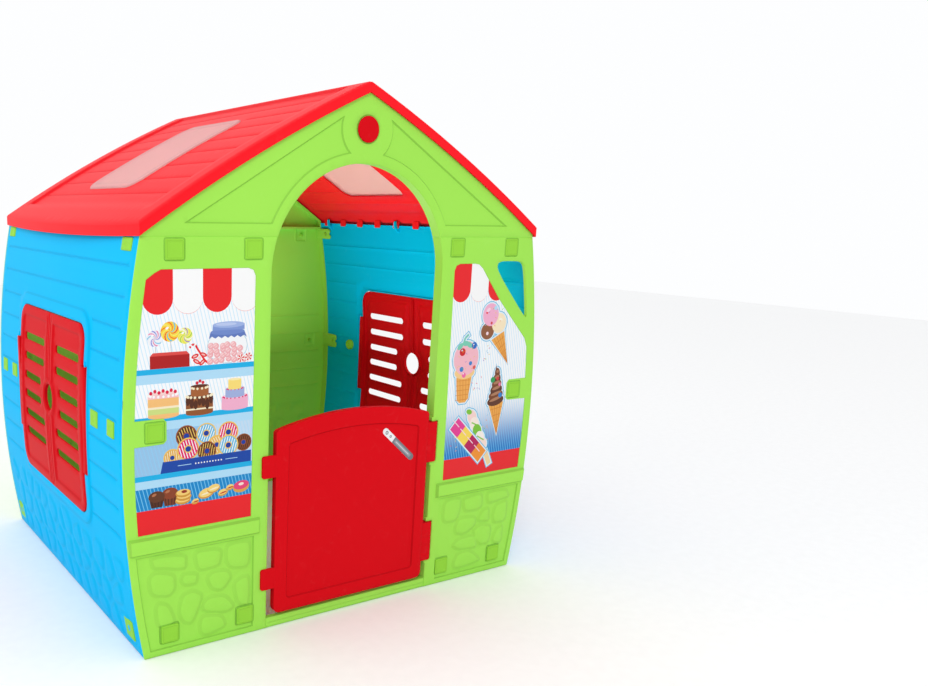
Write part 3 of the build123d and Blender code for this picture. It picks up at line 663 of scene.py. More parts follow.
def on_face(y, out):
    """Lays flat (x, z) points with a height onto an upright face that looks along y."""
    def place(flat, height):
        return np.stack([flat[:, 0], y + out * height, flat[:, 1]], 1) * mm
    return place


def mirrored(loop, side):
    """The outline on the chosen side of the house."""
    return np.asarray(loop, float) * (side, 1)


def side_curve(margin, low, high, step=30.0):
    """Points up the house's curved side, a margin inside it."""
    levels = np.linspace(low, high, max(2, int((high - low) / step) + 1))
    return [(float(wall_x(z, margin)), z) for z in levels]


def corner_edge(inner, arched, margin=0.0):
    """Outline of a corner panel: curved side, seam, then the doorway's jamb."""
    edge = side_curve(margin, 0, seam_z)
    if arched:
        top = math.degrees(math.asin((seam_z - arch_center) / inner))
        edge += arc(0, arch_center, inner, top, 0, 6)
    else:
        edge.append((inner, seam_z))
    edge.append((inner, 0))
    return edge


def sticker_outline(side):
    """Printed film's outline: follows the curved side, with a bite round the lock plug."""
    bite_x = plug_places[2][0] - plug_size / 2 - 5
    bite_low, bite_high = plug_places[2][1] - 24, plug_places[2][1] + 24
    inner, top = sticker_inner, sticker_top
    edge = [(inner + 4, sticker_low), *side_curve(sticker_margin, sticker_low, bite_low)]
    edge += [(bite_x + 6, bite_low + 1), (bite_x, bite_low + 7)]
    edge += [(bite_x, bite_high - 7), (bite_x + 6, bite_high)]
    if side > 0:
        edge += side_curve(sticker_margin + 2, bite_high, 545)
        edge += [(477, 566), (386, 660), (330, 729), (318, 738), (306, top)]
    else:
        edge += side_curve(sticker_margin, bite_high, 722) + [(450, 734), (438, top)]
    edge += [(inner + 16, top), (inner + 5, top - 4), (inner, top - 15)]
    return mirrored(edge, side)


corner_clips = [(59.0, 447.0, 32.0), (52.0, 45.0, 42.0), (52.0, 782.0, 24.0)]
tab_reach, tab_thick, tab_room, fit_gap = 76.0, 3.0, 4.0, 0.3


def corner_tabs(side, end):
    """Flat tongues that reach in along the side wall, each with a hole and a notched end."""
    lay = on_wall(side)

    def behind_skin(flat, height):
        return lay(flat, -skin - fit_gap - height - tab_thick)

    made = []
    for inset_y, z, tall in corner_clips:
        low, top = max(z - tall / 2 - tab_room, 1), min(z + tall / 2 + tab_room, seam_z)
        near, far, middle = back_y - 2, back_y - tab_reach, (low + top) / 2
        tongue = [(far + 5, low), (near, low), (near, top), (far + 5, top), (far, top - 5), (far, middle + 5),
                  (far + 6, middle + 3), (far + 6, middle - 3), (far, middle - 5), (far, low + 5)]
        tongue = np.array(tongue) * (end, 1)
        hole = ring(end * (back_y - inset_y), z, 5.2, 20)
        made.append(sheet_parts(tongue, [hole], [], [], 9, level_relief(0), behind_skin, -tab_thick, 0.6))
    return made


def plug_seats(side):
    """Outlines of the square seats for the lock plugs, and the creases round them."""
    reach = plug_size / 2 + 3
    pads = [round_box(side * x - reach, z - reach, side * x + reach, z + reach, 5, 4) for x, z in plug_places]
    return pads, pads + [inset(pad, depth) for depth in (1.5, 3.4) for pad in pads]


def seat_relief(flat, pads):
    """Fine line pressed in round each plug's seat."""
    height = np.zeros(len(flat))
    for pad in pads:
        depth = depth_in(flat, pad)
        height -= 1.6 * ease(depth / 1.5) * (1 - ease((depth - 1.5) / 2))
    return height


for side, name in ((-1, "left"), (1, "right")):
    shapes = left_stones if side < 0 else right_stones
    stones = [softened(inset(mirrored(s, side), -stone_growth), 3, 0.2) for s in shapes]
    field = [*side_curve(stone_margin, stone_low, stone_top), (door_opening_half + stone_inset, stone_top),
             (door_opening_half + stone_inset, stone_low)]
    field = mirrored(field, side)
    film = sticker_outline(side)
    pads, seats = plug_seats(side)
    sill = [*side_curve(1.5, sill_low, sill_high, 10), (door_opening_half + sill_inset, sill_high),
            (door_opening_half + sill_inset, sill_low)]
    sill = mirrored(sill, side)
    edge, fold = corner_edge(door_opening_half, True), corner_edge(door_opening_half, True, skin + fit_gap)
    if side > 0:
        notch_x = hinge_x + hinge_barrel + hinge_notch
        for low, top in reversed(door_hinges):
            for outline in (edge, fold):
                outline[-1:-1] = [(door_opening_half, top + hinge_notch), (notch_x, top + hinge_notch),
                                  (notch_x, low - hinge_notch), (door_opening_half, low - hinge_notch)]
    edge, fold = mirrored(edge, side), mirrored(fold, side)
    holes = [softened(window_corners, 3, 0.2)] if side > 0 else []

    def front_relief(flat):
        height = -raised(flat, field, stone_drop, 2)
        for stone in stones:
            height += raised(flat, stone, stone_swell, stone_bevel)
        height -= raised(flat, film, sticker_drop, 1.2)
        height += raised(flat, sill, sill_proud, 4)
        return height + seat_relief(flat, pads)

    creases = [field, inset(field, 2), film, inset(film, 1.2), sill, inset(sill, 2), inset(sill, 4), *stones]
    creases += [inset(s, depth) for depth in (3, stone_bevel) for s in stones] + seats
    place = on_face(front_y, -1)
    parts = [sheet_parts(edge, holes, creases, [], 12, front_relief, place, skin)]
    parts.append(return_parts(fold, -1.5, -flange_depth, 3, place))
    parts += [return_parts(hole, -1.5, -9, -2.5, place) for hole in holes]
    if side > 0:
        for low, top in door_hinges:
            for lug_low in (top + 0.5, low - 10):
                lug = round_box(hinge_x - 6.5, lug_low, hinge_x + 6.5, lug_low + 9.5, 2, 3)
                parts.append(sheet_parts(lug, [], [], [], 4, level_relief(-0.4), place, 10))
    parts += corner_tabs(side, -1)
    panel = piece(f"front_panel_{name}_skin", parts, green_plastic)
    fit(panel, "house", f"front_panel_{name}")

back_seam_half = 0.4
back_lines = [525.0 - 56.0 * n for n in range(5)]
for side, name in ((-1, "left"), (1, "right")):
    edge, fold = (mirrored(corner_edge(back_seam_half, False, margin), side)
                  for margin in (0.0, skin + fit_gap))
    blocks = [round_box(low, 216, low + 46, 245, 4, 3) for low in range(14, 440, 54)]
    blocks = [mirrored(b, side) for b in blocks]
    stones = cobbles(12, 8, 466, 203, 7, 3, 9, 11 if side > 0 else 12)
    stones = [mirrored(s, side) for s in stones]
    stones = [s for s in stones if (depth_in(s, edge) > 6).all()]
    pads, seats = plug_seats(side)
    runs = [mirrored([(12, z), (float(wall_x(z)) - 26, z)], side) for z in back_lines]

    def back_relief(flat):
        height = np.zeros(len(flat))
        for shape in stones + blocks:
            height += raised(flat, shape, 2.4, 6)
        for run in runs:
            height += groove(flat, run, 1.6, 6)
        return height + seat_relief(flat, pads)

    creases = stones + blocks + [inset(s, 4) for s in stones + blocks] + [inset(s, 7) for s in stones]
    creases += seats
    lines = [run + (0, d) for run in runs for d in lap_width]
    place = on_face(back_y, 1)
    parts = [sheet_parts(edge, [], creases, lines, 12, back_relief, place, skin),
             return_parts(fold, -1.5, -flange_depth, 3, place),
             *corner_tabs(side, 1)]
    panel = piece(f"back_panel_{name}_skin", parts, green_plastic)
    fit(panel, "house", f"back_panel_{name}")


# ---------------------------------------------------------------------------
# Gables: the front one is cut by the doorway's round head and carries a red
# plug in its peak; the back one is plain. Both are green mouldings.
ridge_z, eave_z, eave_half, roof_crown = 1090.0, 819.0, 481.0, 12.0
roof_slope = math.hypot(eave_half, ridge_z - eave_z)
roof_radius = ((roof_slope / 2) ** 2 + roof_crown**2) / (2 * roof_crown)
roof_cx = eave_half / 2 + (roof_crown - roof_radius) * (ridge_z - eave_z) / roof_slope
roof_cz = (ridge_z + eave_z) / 2 + (roof_crown - roof_radius) * eave_half / roof_slope
disc_z, disc_radius = 1001.0, 25.0
gable_low, gable_far, gable_drop = 819.0, 394.0, 2.8
gable_arch_reach, gable_disc_reach = 232.0, 60.0


def roof_z(x, drop=0.0):
    """Height of a roof slope, drop mm under its outer face."""
    return roof_cz + np.sqrt((roof_radius - drop) ** 2 - (np.asarray(x, float) - roof_cx) ** 2)


def gable_edge(arched, margin=0.0):
    """Outline of a gable, anticlockwise from its lower left corner."""
    top = [(float(x), float(roof_z(x, skin + fit_gap + margin))) for x in np.linspace(474 - margin, 0, 24)]
    right = [(wall_half_top - margin, seam_z), *top]
    left = [(-x, z) for x, z in right[::-1][1:]]
    edge = right + left
    if arched:
        foot = math.degrees(math.asin((seam_z - arch_center) / door_opening_half))
        edge += arc(0, arch_center, door_opening_half, 180 - foot, foot, 48)
    return np.array(edge)


disc_rise = disc_z - arch_center
meet = (disc_rise**2 + gable_arch_reach**2 - gable_disc_reach**2) / (2 * disc_rise)
meet_turn = math.degrees(math.asin(meet / gable_arch_reach))
meet_disc = math.degrees(math.asin((meet - disc_rise) / gable_disc_reach))
foot_turn = math.degrees(math.asin((gable_low - arch_center) / gable_arch_reach))
gable_field = [(gable_far, gable_low), *arc(0, disc_z, gable_disc_reach, 22, meet_disc, 8),
               *arc(0, arch_center, gable_arch_reach, meet_turn, foot_turn, 24)]
fields = [np.array(gable_field), mirrored(gable_field, -1)]
disc_seat = ring(0, disc_z, disc_radius + 3)


def gable_relief(flat):
    """Sunken fields on both sides of the arch, and a shallow seat for the plug."""
    height = -raised(flat, disc_seat, 1.6, 2)
    for field in fields:
        height -= raised(flat, field, gable_drop, 2.6)
    return height


field_feet = [inset(resampled(field, 12), 2.7) for field in fields]
creases = [*fields, *field_feet, disc_seat, inset(disc_seat, 2)]
place = on_face(front_y, -1)
parts = [sheet_parts(gable_edge(True), [], creases, [], 12, gable_relief, place, skin),
         return_parts(gable_edge(True, skin + fit_gap), -1.5, -flange_depth, 3, place)]
fit(piece("front_gable_skin", parts, green_plastic), "house", "front_gable")

place = on_face(back_y, 1)
parts = [sheet_parts(gable_edge(False), [], [], [], 14, level_relief(0), place, skin),
         return_parts(gable_edge(False, skin + fit_gap), -1.5, -flange_depth, 3, place)]
fit(piece("back_gable_skin", parts, green_plastic), "house", "back_gable")


# ---------------------------------------------------------------------------
# Roof: two red slopes that meet at the ridge, each with a raised border, a
# down-turned rim, lap lines with nail marks and a frosted roof light.
roof_red = plastic("roof_red_plastic", (0.86, 0.012, 0.020), specular=0.03)
roof_half = 447.0
eave_bow = 12.0
rim_start, rim_drop = 2.6, 19.0
border_end, border_eave, border_ridge, field_drop = 57.0, 45.0, 10.0, 5.0
light_near, light_far, light_half, light_corner = 115.0, 365.0, 127.0, 24.0
tab_step, tab_length, tab_low, tab_count = 83.0, 24.0, 804.0, 10


def on_roof(side):
    """Lays flat (x, y) points with a height off the roof onto the bowed slope."""
    def place(flat, height):
        run = (flat[:, 0] - roof_cx) / roof_radius
        rise = np.sqrt(1 - run**2)
        reach = roof_radius + height
        across = np.maximum(roof_cx + reach * run, 0.2)
        return np.stack([side * across, flat[:, 1], roof_cz + reach * rise], 1) * mm
    return place


def upright(place):
    """The same slope, but with rims that hang straight down instead of square to it."""
    def hung(flat, height):
        spread = (roof_radius - rim_start) / (roof_radius + height) - 1
        return place(flat + spread[:, None] * (flat - (roof_cx, 0)) * (1, 0), height)
    return hung


eave_line = [(eave_half + eave_bow * (1 - (y / roof_half) ** 2), y)
             for y in np.linspace(-roof_half, roof_half, 41)]
roof_edge = np.array([(0.2, roof_half), (0.2, -roof_half), *eave_line])
field_edge = round_box(border_ridge, -roof_half + border_end, eave_half - border_eave,
                       roof_half - border_end, 12, 5)
light_hole = round_box(light_near, -light_half, light_far, light_half, light_corner, 8)
lap_lines = [58, 106, 154, 202, 250, 298, 346, 394]
lap_runs = []
for x in lap_lines:
    low = -roof_half + border_end + 14
    if light_near - 12 < x < light_far + 12:
        lap_runs += [[(x, low), (x, -light_half - 16)], [(x, light_half + 16), (x, -low)]]
    else:
        lap_runs.append([(x, low), (x, -low)])
nails = [ring(x + d, s * (roof_half - border_end - 26), 2.6, 10)
         for x in lap_lines for d in (-12, 12) for s in (-1, 1)]


def roof_relief(flat):
    """Sunken boarded field inside the border, with lap lines and nail marks."""
    height = -raised(flat, field_edge, field_drop, 7)
    for run in lap_runs:
        height += groove(flat, np.array(run), 1.5, 6)
    for nail in nails:
        height -= raised(flat, nail, 1.2, 2)
    return height


for side, name in ((-1, "left"), (1, "right")):
    place = on_roof(side)
    lines = [np.array(run) + (d, 0) for run in lap_runs for d in lap_width]
    creases = [field_edge, inset(field_edge, 3.5), inset(field_edge, 7), *nails]
    parts = [sheet_parts(roof_edge, [light_hole], creases, lines, 14, roof_relief, place, skin, 2.5),
             return_parts(roof_edge, -rim_start, -rim_drop, 4, upright(place))]
    tab_x = float(wall_x(wall_top, skin)) - 1.8
    for n in range(tab_count):
        middle = (n - (tab_count - 1) / 2) * tab_step
        tab = round_box(middle - tab_length / 2, tab_low, middle + tab_length / 2,
                        float(roof_z(tab_x, skin)), 5, 4)
        parts.append(stacked([[(side * x * mm, y * mm, z * mm) for y, z in tab] for x in (tab_x, tab_x - 3)]))
    slope = piece(f"roof_panel_{name}_skin", parts, roof_red)
    fit(slope, "house", f"roof_panel_{name}")


def frosted(name, colour):
    """Milky plastic that lets light through: mottled, with a fine etched grain."""
    made = plastic(name, colour, drift=0.12, marks=0.1, grain=900, specular=0.5)
    nodes, links = made.node_tree.nodes, made.node_tree.links
    nodes["Bump"].inputs["Strength"].default_value = 0.3
    nodes["Bump"].inputs["Distance"].default_value = 0.001
    shader = nodes["Principled BSDF"]
    links.remove(shader.inputs["Roughness"].links[0])
    shader.inputs["Roughness"].default_value = 0.55
    shader.inputs["Transmission Weight"].default_value = 0.45
    shader.inputs["IOR"].default_value = 1.2
    return made


light_film = frosted("frosted_plastic", (0.90, 0.50, 0.50))
light_lap, light_thick = 10.0, 2.2
light_rim = round_box(light_near - light_lap, -light_half - light_lap, light_far + light_lap,
                      light_half + light_lap, light_corner + light_lap, 8)
pane = inset(light_rim, 14)


def light_relief(flat):
    """Raised frame round a slightly sunken clear pane."""
    return raised(flat, light_rim, 1.5, 3) - raised(flat, pane, 1.6, 3)


for side, name in ((-1, "left"), (1, "right")):
    place = on_roof(side)

    def on_field(flat, height):
        return place(flat, height - field_drop + light_thick)

    creases = [inset(light_rim, 3), pane, inset(pane, 3)]
    parts = [sheet_parts(light_rim, [], creases, [], 16, light_relief, on_field, light_thick)]
    pane_piece = piece(f"skylight_{name}_pane", parts, light_film)
    fit(pane_piece, "house", f"skylight_{name}")


# ---------------------------------------------------------------------------
# Shutters: four red louvred leaves that curve with the wall. Each turns on a
# pin through the ear at its outer edge; the two of a pair meet in a round hole.
red_plastic = plastic("red_plastic", (0.60, 0.004, 0.009), specular=0.02)
shutter_proud, shutter_deep = 4.5, 8.0
meeting_gap = 0.6
slot_rows = [319.0, 364.0, 410.0, 455.0, 501.0, 547.0]
slot_tall, slot_outer, slot_inner, slot_inner_middle = 17.0, 195.0, 41.0, 66.0
peep_z, peep_radius, peep_ring = 433.0, 30.0, 13.0


def pill(y0, y1, z, tall):
    """Slot with round ends."""
    return round_box(y0, z - tall / 2, y1, z + tall / 2, tall / 2 - 0.01, 5)


peep_turn = math.degrees(math.acos(meeting_gap / peep_radius))
shutter_bend = shutter_half - shutter_corner
low_bend, top_bend = shutter_low + shutter_corner, shutter_top - shutter_corner
leaf = [(meeting_gap, shutter_low), *arc(shutter_bend, low_bend, shutter_corner, -90, 0, 9)]
leaf += [(shutter_half, ear_low), (shutter_half, ear_top)]
leaf += arc(shutter_bend, top_bend, shutter_corner, 0, 90, 9)
leaf += [(meeting_gap, shutter_top), *arc(0, peep_z, peep_radius, peep_turn, -peep_turn, 24)]
border = 20.0
leaf_field = [(border + 4, shutter_low + border),
              *arc(shutter_bend, low_bend, shutter_corner - border, -90, 0, 6),
              *arc(shutter_bend, top_bend, shutter_corner - border, 0, 90, 6),
              (border + 4, shutter_top - border)]
ring_turn = math.degrees(math.acos((border + 4) / (peep_radius + peep_ring)))
leaf_field += arc(0, peep_z, peep_radius + peep_ring, ring_turn, -ring_turn, 16)
slots = [pill(slot_inner_middle if n in (2, 3) else slot_inner, slot_outer, z, slot_tall)
         for n, z in enumerate(slot_rows)]
middle_rib = [[(border / 2 + 1, shutter_low + 16), (border / 2 + 1, peep_z - peep_radius - peep_ring)],
              [(border / 2 + 1, peep_z + peep_radius + peep_ring), (border / 2 + 1, shutter_top - 16)]]


def leaf_parts(side, end):
    """Skin, edge returns and slot returns of one leaf, in the wall's own curve."""
    def flip(loop):
        return np.asarray(loop, float) * (end, 1)

    def relief(flat):
        own = flat * (end, 1)
        height = -raised(own, np.array(leaf_field), 2.4, 5)
        for rib in middle_rib:
            height += groove(own, np.array(rib), 1.4, 6)
        depth = depth_in(own, ring(0, peep_z, peep_radius + peep_ring))
        return height + 1.2 * ease(depth / 4) * (1 - ease((depth - 8) / 4))

    lay = on_wall(side)

    def place(flat, height):
        return lay(flat, height + shutter_proud)

    edge, holes = flip(leaf), [flip(s) for s in slots]
    field = flip(leaf_field)
    boss = [flip(arc(0, peep_z, radius, 89, -89, 24)) for radius in (peep_radius + 4, peep_radius + 9)]
    lines = boss + [flip(rib) + (d, 0) for rib in middle_rib for d in (-3, 0, 3)]
    creases = [field, inset(field, 2.5), inset(field, 5)]
    parts = [sheet_parts(edge, holes, creases, lines, 11, relief, place, 3),
             return_parts(edge, -1.4, -shutter_deep, 3, place)]
    parts += [return_parts(hole, -3.6, -shutter_deep + 1, -2.2, place, 4) for hole in holes]
    return parts


def ear_part(side, end):
    """Ear of a leaf: a straight rounded knuckle along the pin, tied back to the leaf."""
    half = 6.3
    profile = [*arc(0, 0, half, -90, 90, 9), (-14, half), (-14, -half)]
    profile = [(side * (shutter_axis_x + v), end * (shutter_axis_y + u)) for u, v in profile]
    levels = [(ear_low, 0.86), (ear_low + 1.2, 1.0), (ear_top - 1.2, 1.0), (ear_top, 0.86)]
    cx, cy = side * shutter_axis_x, end * shutter_axis_y
    return stacked([[((cx + (x - cx) * scale) * mm, (cy + (y - cy) * scale) * mm, z * mm) for x, y in profile]
                    for z, scale in levels])


for side, side_name in ((-1, "left"), (1, "right")):
    for end, end_name in ((-1, "front"), (1, "rear")):
        name = f"shutter_{side_name}_{end_name}"
        leaf_piece = piece(name + "_leaf", leaf_parts(side, end) + [ear_part(side, end)], red_plastic)
        fit(leaf_piece, name, name)


# ---------------------------------------------------------------------------
# Half door: a red leaf with a sunken field and a low arched head. It turns on
# two pins through the barrels at its right edge; two catches lap the left jamb.
door_face, door_half, door_foot, door_shoulder, door_crown = front_y - 5, 196.0, 30.0, 419.0, 446.0
door_deep, door_rim, door_drop = 16.0, 28.0, 3.0
door_catches = [(87.0, 132.0), (325.0, 371.0)]
catch_reach, catch_deep = 228.0, 4.5
hinge_y = door_face + hinge_barrel
head_rise = door_crown - door_shoulder
head_radius = (door_half**2 + head_rise**2) / (2 * head_rise)


def door_outline(inner, corner):
    """Outline of the door, inner mm inside its edge."""
    half, low = door_half - inner, door_foot + inner
    top = [(x, door_crown - inner * 1.25 - head_radius + math.sqrt(head_radius**2 - x**2))
           for x in np.linspace(half - 4, -half + 4, 25)]
    shoulder = top[0][1]
    foot = arc(-half + corner, low + corner, corner, 180, 270, 6)
    foot += arc(half - corner, low + corner, corner, 270, 360, 6)
    return np.array([*foot, (half, shoulder - 5), *top, (-half, shoulder - 5)])


door_edge = door_outline(0, 14)
door_field = door_outline(door_rim, 9)
brace = [[(-150, 95), (150, 385)], [(-150, 385), (150, 95)]]


def door_relief(flat):
    """Sunken field with a faint crossed brace that shows through from the back."""
    height = -raised(flat, door_field, door_drop, 2.6)
    for bar in brace:
        reach = distance_to(flat, np.array(bar), closed=False)
        height += 0.45 * (1 - ease((reach - 14) / 9)) * ease((depth_in(flat, door_field) - 6) / 12)
    return height


place = on_face(door_face, -1)
creases = [door_field, inset(door_field, 1.3), inset(door_field, 2.6)]
parts = [sheet_parts(door_edge, [], creases, [], 9, door_relief, place, skin, 2.0),
         return_parts(door_edge, -2.0, -door_deep, 3, place)]


def barrel_part(low, top):
    """Hinge barrel: a round nose towards the jamb, a flat cheek towards the door."""
    nose = arc(hinge_x, hinge_y, hinge_barrel, -90, 90, 13)
    profile = [*nose, (door_half - 3, hinge_y + hinge_barrel), (door_half - 3, hinge_y - hinge_barrel)]
    levels = [(low, 0.9), (low + 1.5, 1.0)]
    knuckles = 5
    for n in range(1, knuckles):
        z = low + (top - low) * n / knuckles
        levels += [(z - 1.4, 1.0), (z, 0.95), (z + 1.4, 1.0)]
    levels += [(top - 1.5, 1.0), (top, 0.9)]
    rings = []
    for z, scale in levels:
        rings.append([((hinge_x + (x - hinge_x) * (scale if x > hinge_x - 1 else 1)) * mm,
                       (hinge_y + (y - hinge_y) * scale) * mm, z * mm) for x, y in profile])
    return stacked(rings)


parts += [barrel_part(low, top) for low, top in door_hinges]
for low, top in door_catches:
    catch = round_box(-catch_reach, low, -door_half + 10, top, 5, 4)
    creases = [inset(catch, 2.5)]
    parts.append(sheet_parts(catch, [], creases, [], 8, level_relief(-0.3), place, catch_deep, 1.0))
fit(piece("half_door_leaf", parts, red_plastic), "door", "half_door")


# ---------------------------------------------------------------------------
# Small turned and pressed pieces: square lock plugs and wall clips snapped in by
# hand, round knobs that back them, the peak's red plug, pins and the threshold.
clip_plastic = plastic("green_clip_plastic", (0.27, 0.60, 0.05), specular=0.03)


def repeat_group():
    """Copies of one shape on points: each point carries its own turn and size."""
    group = bpy.data.node_groups.new("repeated_pieces", "GeometryNodeTree")
    sockets = (("Geometry", "NodeSocketGeometry"), ("Shape", "NodeSocketObject"),
               ("Finish", "NodeSocketMaterial"), ("Unevenness", "NodeSocketFloat"), ("Seed", "NodeSocketInt"))
    for name, kind in sockets:
        group.interface.new_socket(name=name, in_out="INPUT", socket_type=kind)
    group.interface.new_socket(name="Geometry", in_out="OUTPUT", socket_type="NodeSocketGeometry")
    nodes, links = group.nodes, group.links
    given, result = nodes.new("NodeGroupInput"), nodes.new("NodeGroupOutput")
    shape = nodes.new("GeometryNodeObjectInfo")
    turn, size = nodes.new("GeometryNodeInputNamedAttribute"), nodes.new("GeometryNodeInputNamedAttribute")
    for node, name in ((turn, "turn"), (size, "size")):
        node.data_type = "FLOAT_VECTOR"
        node.inputs["Name"].default_value = name
    wobble = nodes.new("FunctionNodeRandomValue")
    wobble.data_type = "FLOAT_VECTOR"
    opposite = nodes.new("ShaderNodeMath")
    opposite.operation = "MULTIPLY"
    opposite.inputs[1].default_value = -1.0
    together = nodes.new("ShaderNodeVectorMath")
    copies = nodes.new("GeometryNodeInstanceOnPoints")
    real = nodes.new("GeometryNodeRealizeInstances")
    finish = nodes.new("GeometryNodeSetMaterial")
    for source, target in (
            (given.outputs["Shape"], shape.inputs["Object"]),
            (given.outputs["Unevenness"], opposite.inputs[0]),
            (opposite.outputs[0], wobble.inputs[0]),
            (given.outputs["Unevenness"], wobble.inputs[1]),
            (given.outputs["Seed"], wobble.inputs["Seed"]),
            (turn.outputs[0], together.inputs[0]),
            (wobble.outputs[0], together.inputs[1]),
            (given.outputs["Geometry"], copies.inputs["Points"]),
            (shape.outputs["Geometry"], copies.inputs["Instance"]),
            (together.outputs[0], copies.inputs["Rotation"]),
            (size.outputs[0], copies.inputs["Scale"]),
            (copies.outputs[0], real.inputs[0]),
            (real.outputs[0], finish.inputs["Geometry"]),
            (given.outputs["Finish"], finish.inputs["Material"]),
            (finish.outputs[0], result.inputs[0])):
        links.new(source, target)
    return group


repeated_pieces = repeat_group()


def repeated(name, parts, spots, material, seed, unevenness=0.006):
    """One baked object: the shape's copies on the spots, each (place in mm, turn, size)."""
    shape = piece(name + "_shape", parts, material)
    mesh = bpy.data.meshes.new(name)
    mesh.from_pydata([Vector(place) * mm for place, _, _ in spots], [], [])
    for label, which in (("turn", 1), ("size", 2)):
        values = np.array([spot[which] for spot in spots], np.float32).ravel()
        mesh.attributes.new(label, "FLOAT_VECTOR", "POINT").data.foreach_set("vector", values)
    made = bpy.data.objects.new(name, mesh)
    bpy.context.collection.objects.link(made)
    modifier = made.modifiers.new("copies", "NODES")
    modifier.node_group = repeated_pieces
    values = {"Shape": shape, "Finish": material, "Unevenness": unevenness, "Seed": seed}
    for item in repeated_pieces.interface.items_tree:
        if item.in_out == "INPUT" and item.name in values:
            modifier[item.identifier] = values[item.name]
    bpy.context.view_layer.update()
    baked = bpy.data.meshes.new_from_object(made.evaluated_get(bpy.context.evaluated_depsgraph_get()))
    made.modifiers.clear()
    made.data = baked
    baked.name = name
    bpy.data.objects.remove(shape)
    return made


def turned(profile, count=32):
    """Closed solid turned about the upright axis from (radius, height) pairs."""
    angles = [2 * math.pi * n / count for n in range(count)]
    return stacked([[(radius * math.cos(a) * mm, radius * math.sin(a) * mm, height * mm) for a in angles]
                    for radius, height in profile])


def stud(radius, low, top):
    """Round shank along the outward axis, as parts facing minus y."""
    points, faces = turned([(radius * 0.8, low), (radius, low + 1), (radius, top)], 16)
    return np.stack([points[:, 0], -points[:, 2], points[:, 1]], 1), faces


def block(x0, z0, x1, z1):
    """Upright rectangle."""
    return np.array([(x0, z0), (x1, z0), (x1, z1), (x0, z1)], float)


plug_plan = round_box(-plug_size / 2, -plug_size / 2, plug_size / 2, plug_size / 2, 3.5, 4)


def plug_relief(flat):
    """Very slightly cupped face with a fine moulded border line."""
    return -0.7 * ease(depth_in(flat, inset(plug_plan, 2.4)) / 1.6)


plug_shape = [sheet_parts(plug_plan, [], [inset(plug_plan, 2.4), inset(plug_plan, 4)], [], 6, plug_relief,
                          on_face(0, -1), 2.4, 1.0), stud(5, -12, -2)]
for name, y, out, turn in (("front", front_y, -1, 0.0), ("back", back_y, 1, math.pi)):
    spots = [((side * x, y + out * 1.6, z), (0, 0, turn), (1, 1, 1))
             for side in (-1, 1) for x, z in plug_places]
    plugs = repeated(f"{name}_lock_plugs_set", plug_shape, spots, clip_plastic, 3)
    fit(plugs, "house", f"{name}_lock_plugs")

knob_spot = (292.0, 447.0)
head_plan = round_box(-20, -20, 20, 20, 2.5, 4)


def head_relief(flat):
    """Plain face with a thumb dent."""
    return -0.8 * ease(depth_in(flat, ring(0, 0, 9)) / 5)


creases = [ring(0, 0, 9), ring(0, 0, 4)]
head_skin = sheet_parts(head_plan, [], creases, [], 7, head_relief, on_face(0, -1), 2.4, 1.0)
head_shape = [head_skin, stud(5, -13, -2)]
knob_shape = [turned([(15, 0), (15, 7), (14, 9), (11, 10), (7, 10), (6, 8.6), (1, 8.6)])]
wall_heads = [(back_y - 59, 447.0, 35.0, 32.0), (back_y - 52, 45.0, 42.0, 42.0),
              (back_y - 52, 782.0, 46.0, 24.0), (*knob_spot, 38.0, 32.0)]
for side, name in ((-1, "left"), (1, "right")):
    spots, knobs = [], []
    for end in (-1, 1):
        for y, z, wide, tall in wall_heads:
            lean = math.asin((z - wall_cz) / wall_radius)
            x = float(wall_x(z)) + 2.6
            spots.append(((side * x, end * y, z), (-lean, 0, side * math.pi / 2), (wide / 40, 1, tall / 40)))
        seat = float(wall_x(knob_spot[1], skin)) - fit_gap
        middle = (side * seat, end * knob_spot[0], knob_spot[1])
        knobs.append((middle, (0, -side * math.pi / 2, 0), (1, 1, 1)))
    clips = repeated(f"wall_clips_{name}_set", head_shape, spots, clip_plastic, 5 + side, 0.01)
    fit(clips, "house", f"wall_clips_{name}")
    fit(repeated(f"clip_knobs_{name}_set", knob_shape, knobs, clip_plastic, 9 + side), "house",
        f"clip_knobs_{name}")
    pins = [((side * shutter_axis_x, end * shutter_axis_y, (ear_low + ear_top) / 2), (0, 0, 0), (1, 1, 1))
            for end in (-1, 1)]
    half = (ear_top - ear_low) / 2 + window_gap + 9
    pin_shape = [turned([(1.6, -half), (2.5, -half + 0.9), (2.5, half - 0.9), (1.6, half)], 20)]
    fit(repeated(f"shutter_pins_{name}_set", pin_shape, pins, blue_plastic, 13, 0.0), "house",
        f"shutter_pins_{name}")

pins = [((hinge_x, hinge_y, (low + top) / 2), (0, 0, 0), (1, 1, 1)) for low, top in door_hinges]
half = (door_hinges[0][1] - door_hinges[0][0]) / 2 + 10
pin_shape = [turned([(2, -half), (3, -half + 1), (3, half - 1), (2, half)], 24)]
fit(repeated("door_hinge_pins_set", pin_shape, pins, green_plastic, 15, 0.0), "house", "door_hinge_pins")

disc_points, disc_faces = turned([(16, -12), (16, -1), (disc_radius, 0.2), (disc_radius, 1.8), (24, 2.8),
                                  (20, 3.0), (12, 3.0), (1, 3.0)], 56)
disc_points = disc_points[:, [0, 2, 1]] * (1, -1, 1) + (0, front_y * mm, disc_z * mm)
fit(piece("front_disc_plug", [(disc_points, disc_faces)], red_plastic), "house", "front_disc")

step_plan = block(-door_opening_half, 0, door_opening_half, 21)
step_line = np.array([(-door_opening_half + 6, 10.5), (door_opening_half - 6, 10.5)])


def step_relief(flat):
    """Fine groove along the middle of the threshold bar."""
    return groove(flat, step_line, 0.8, 4)


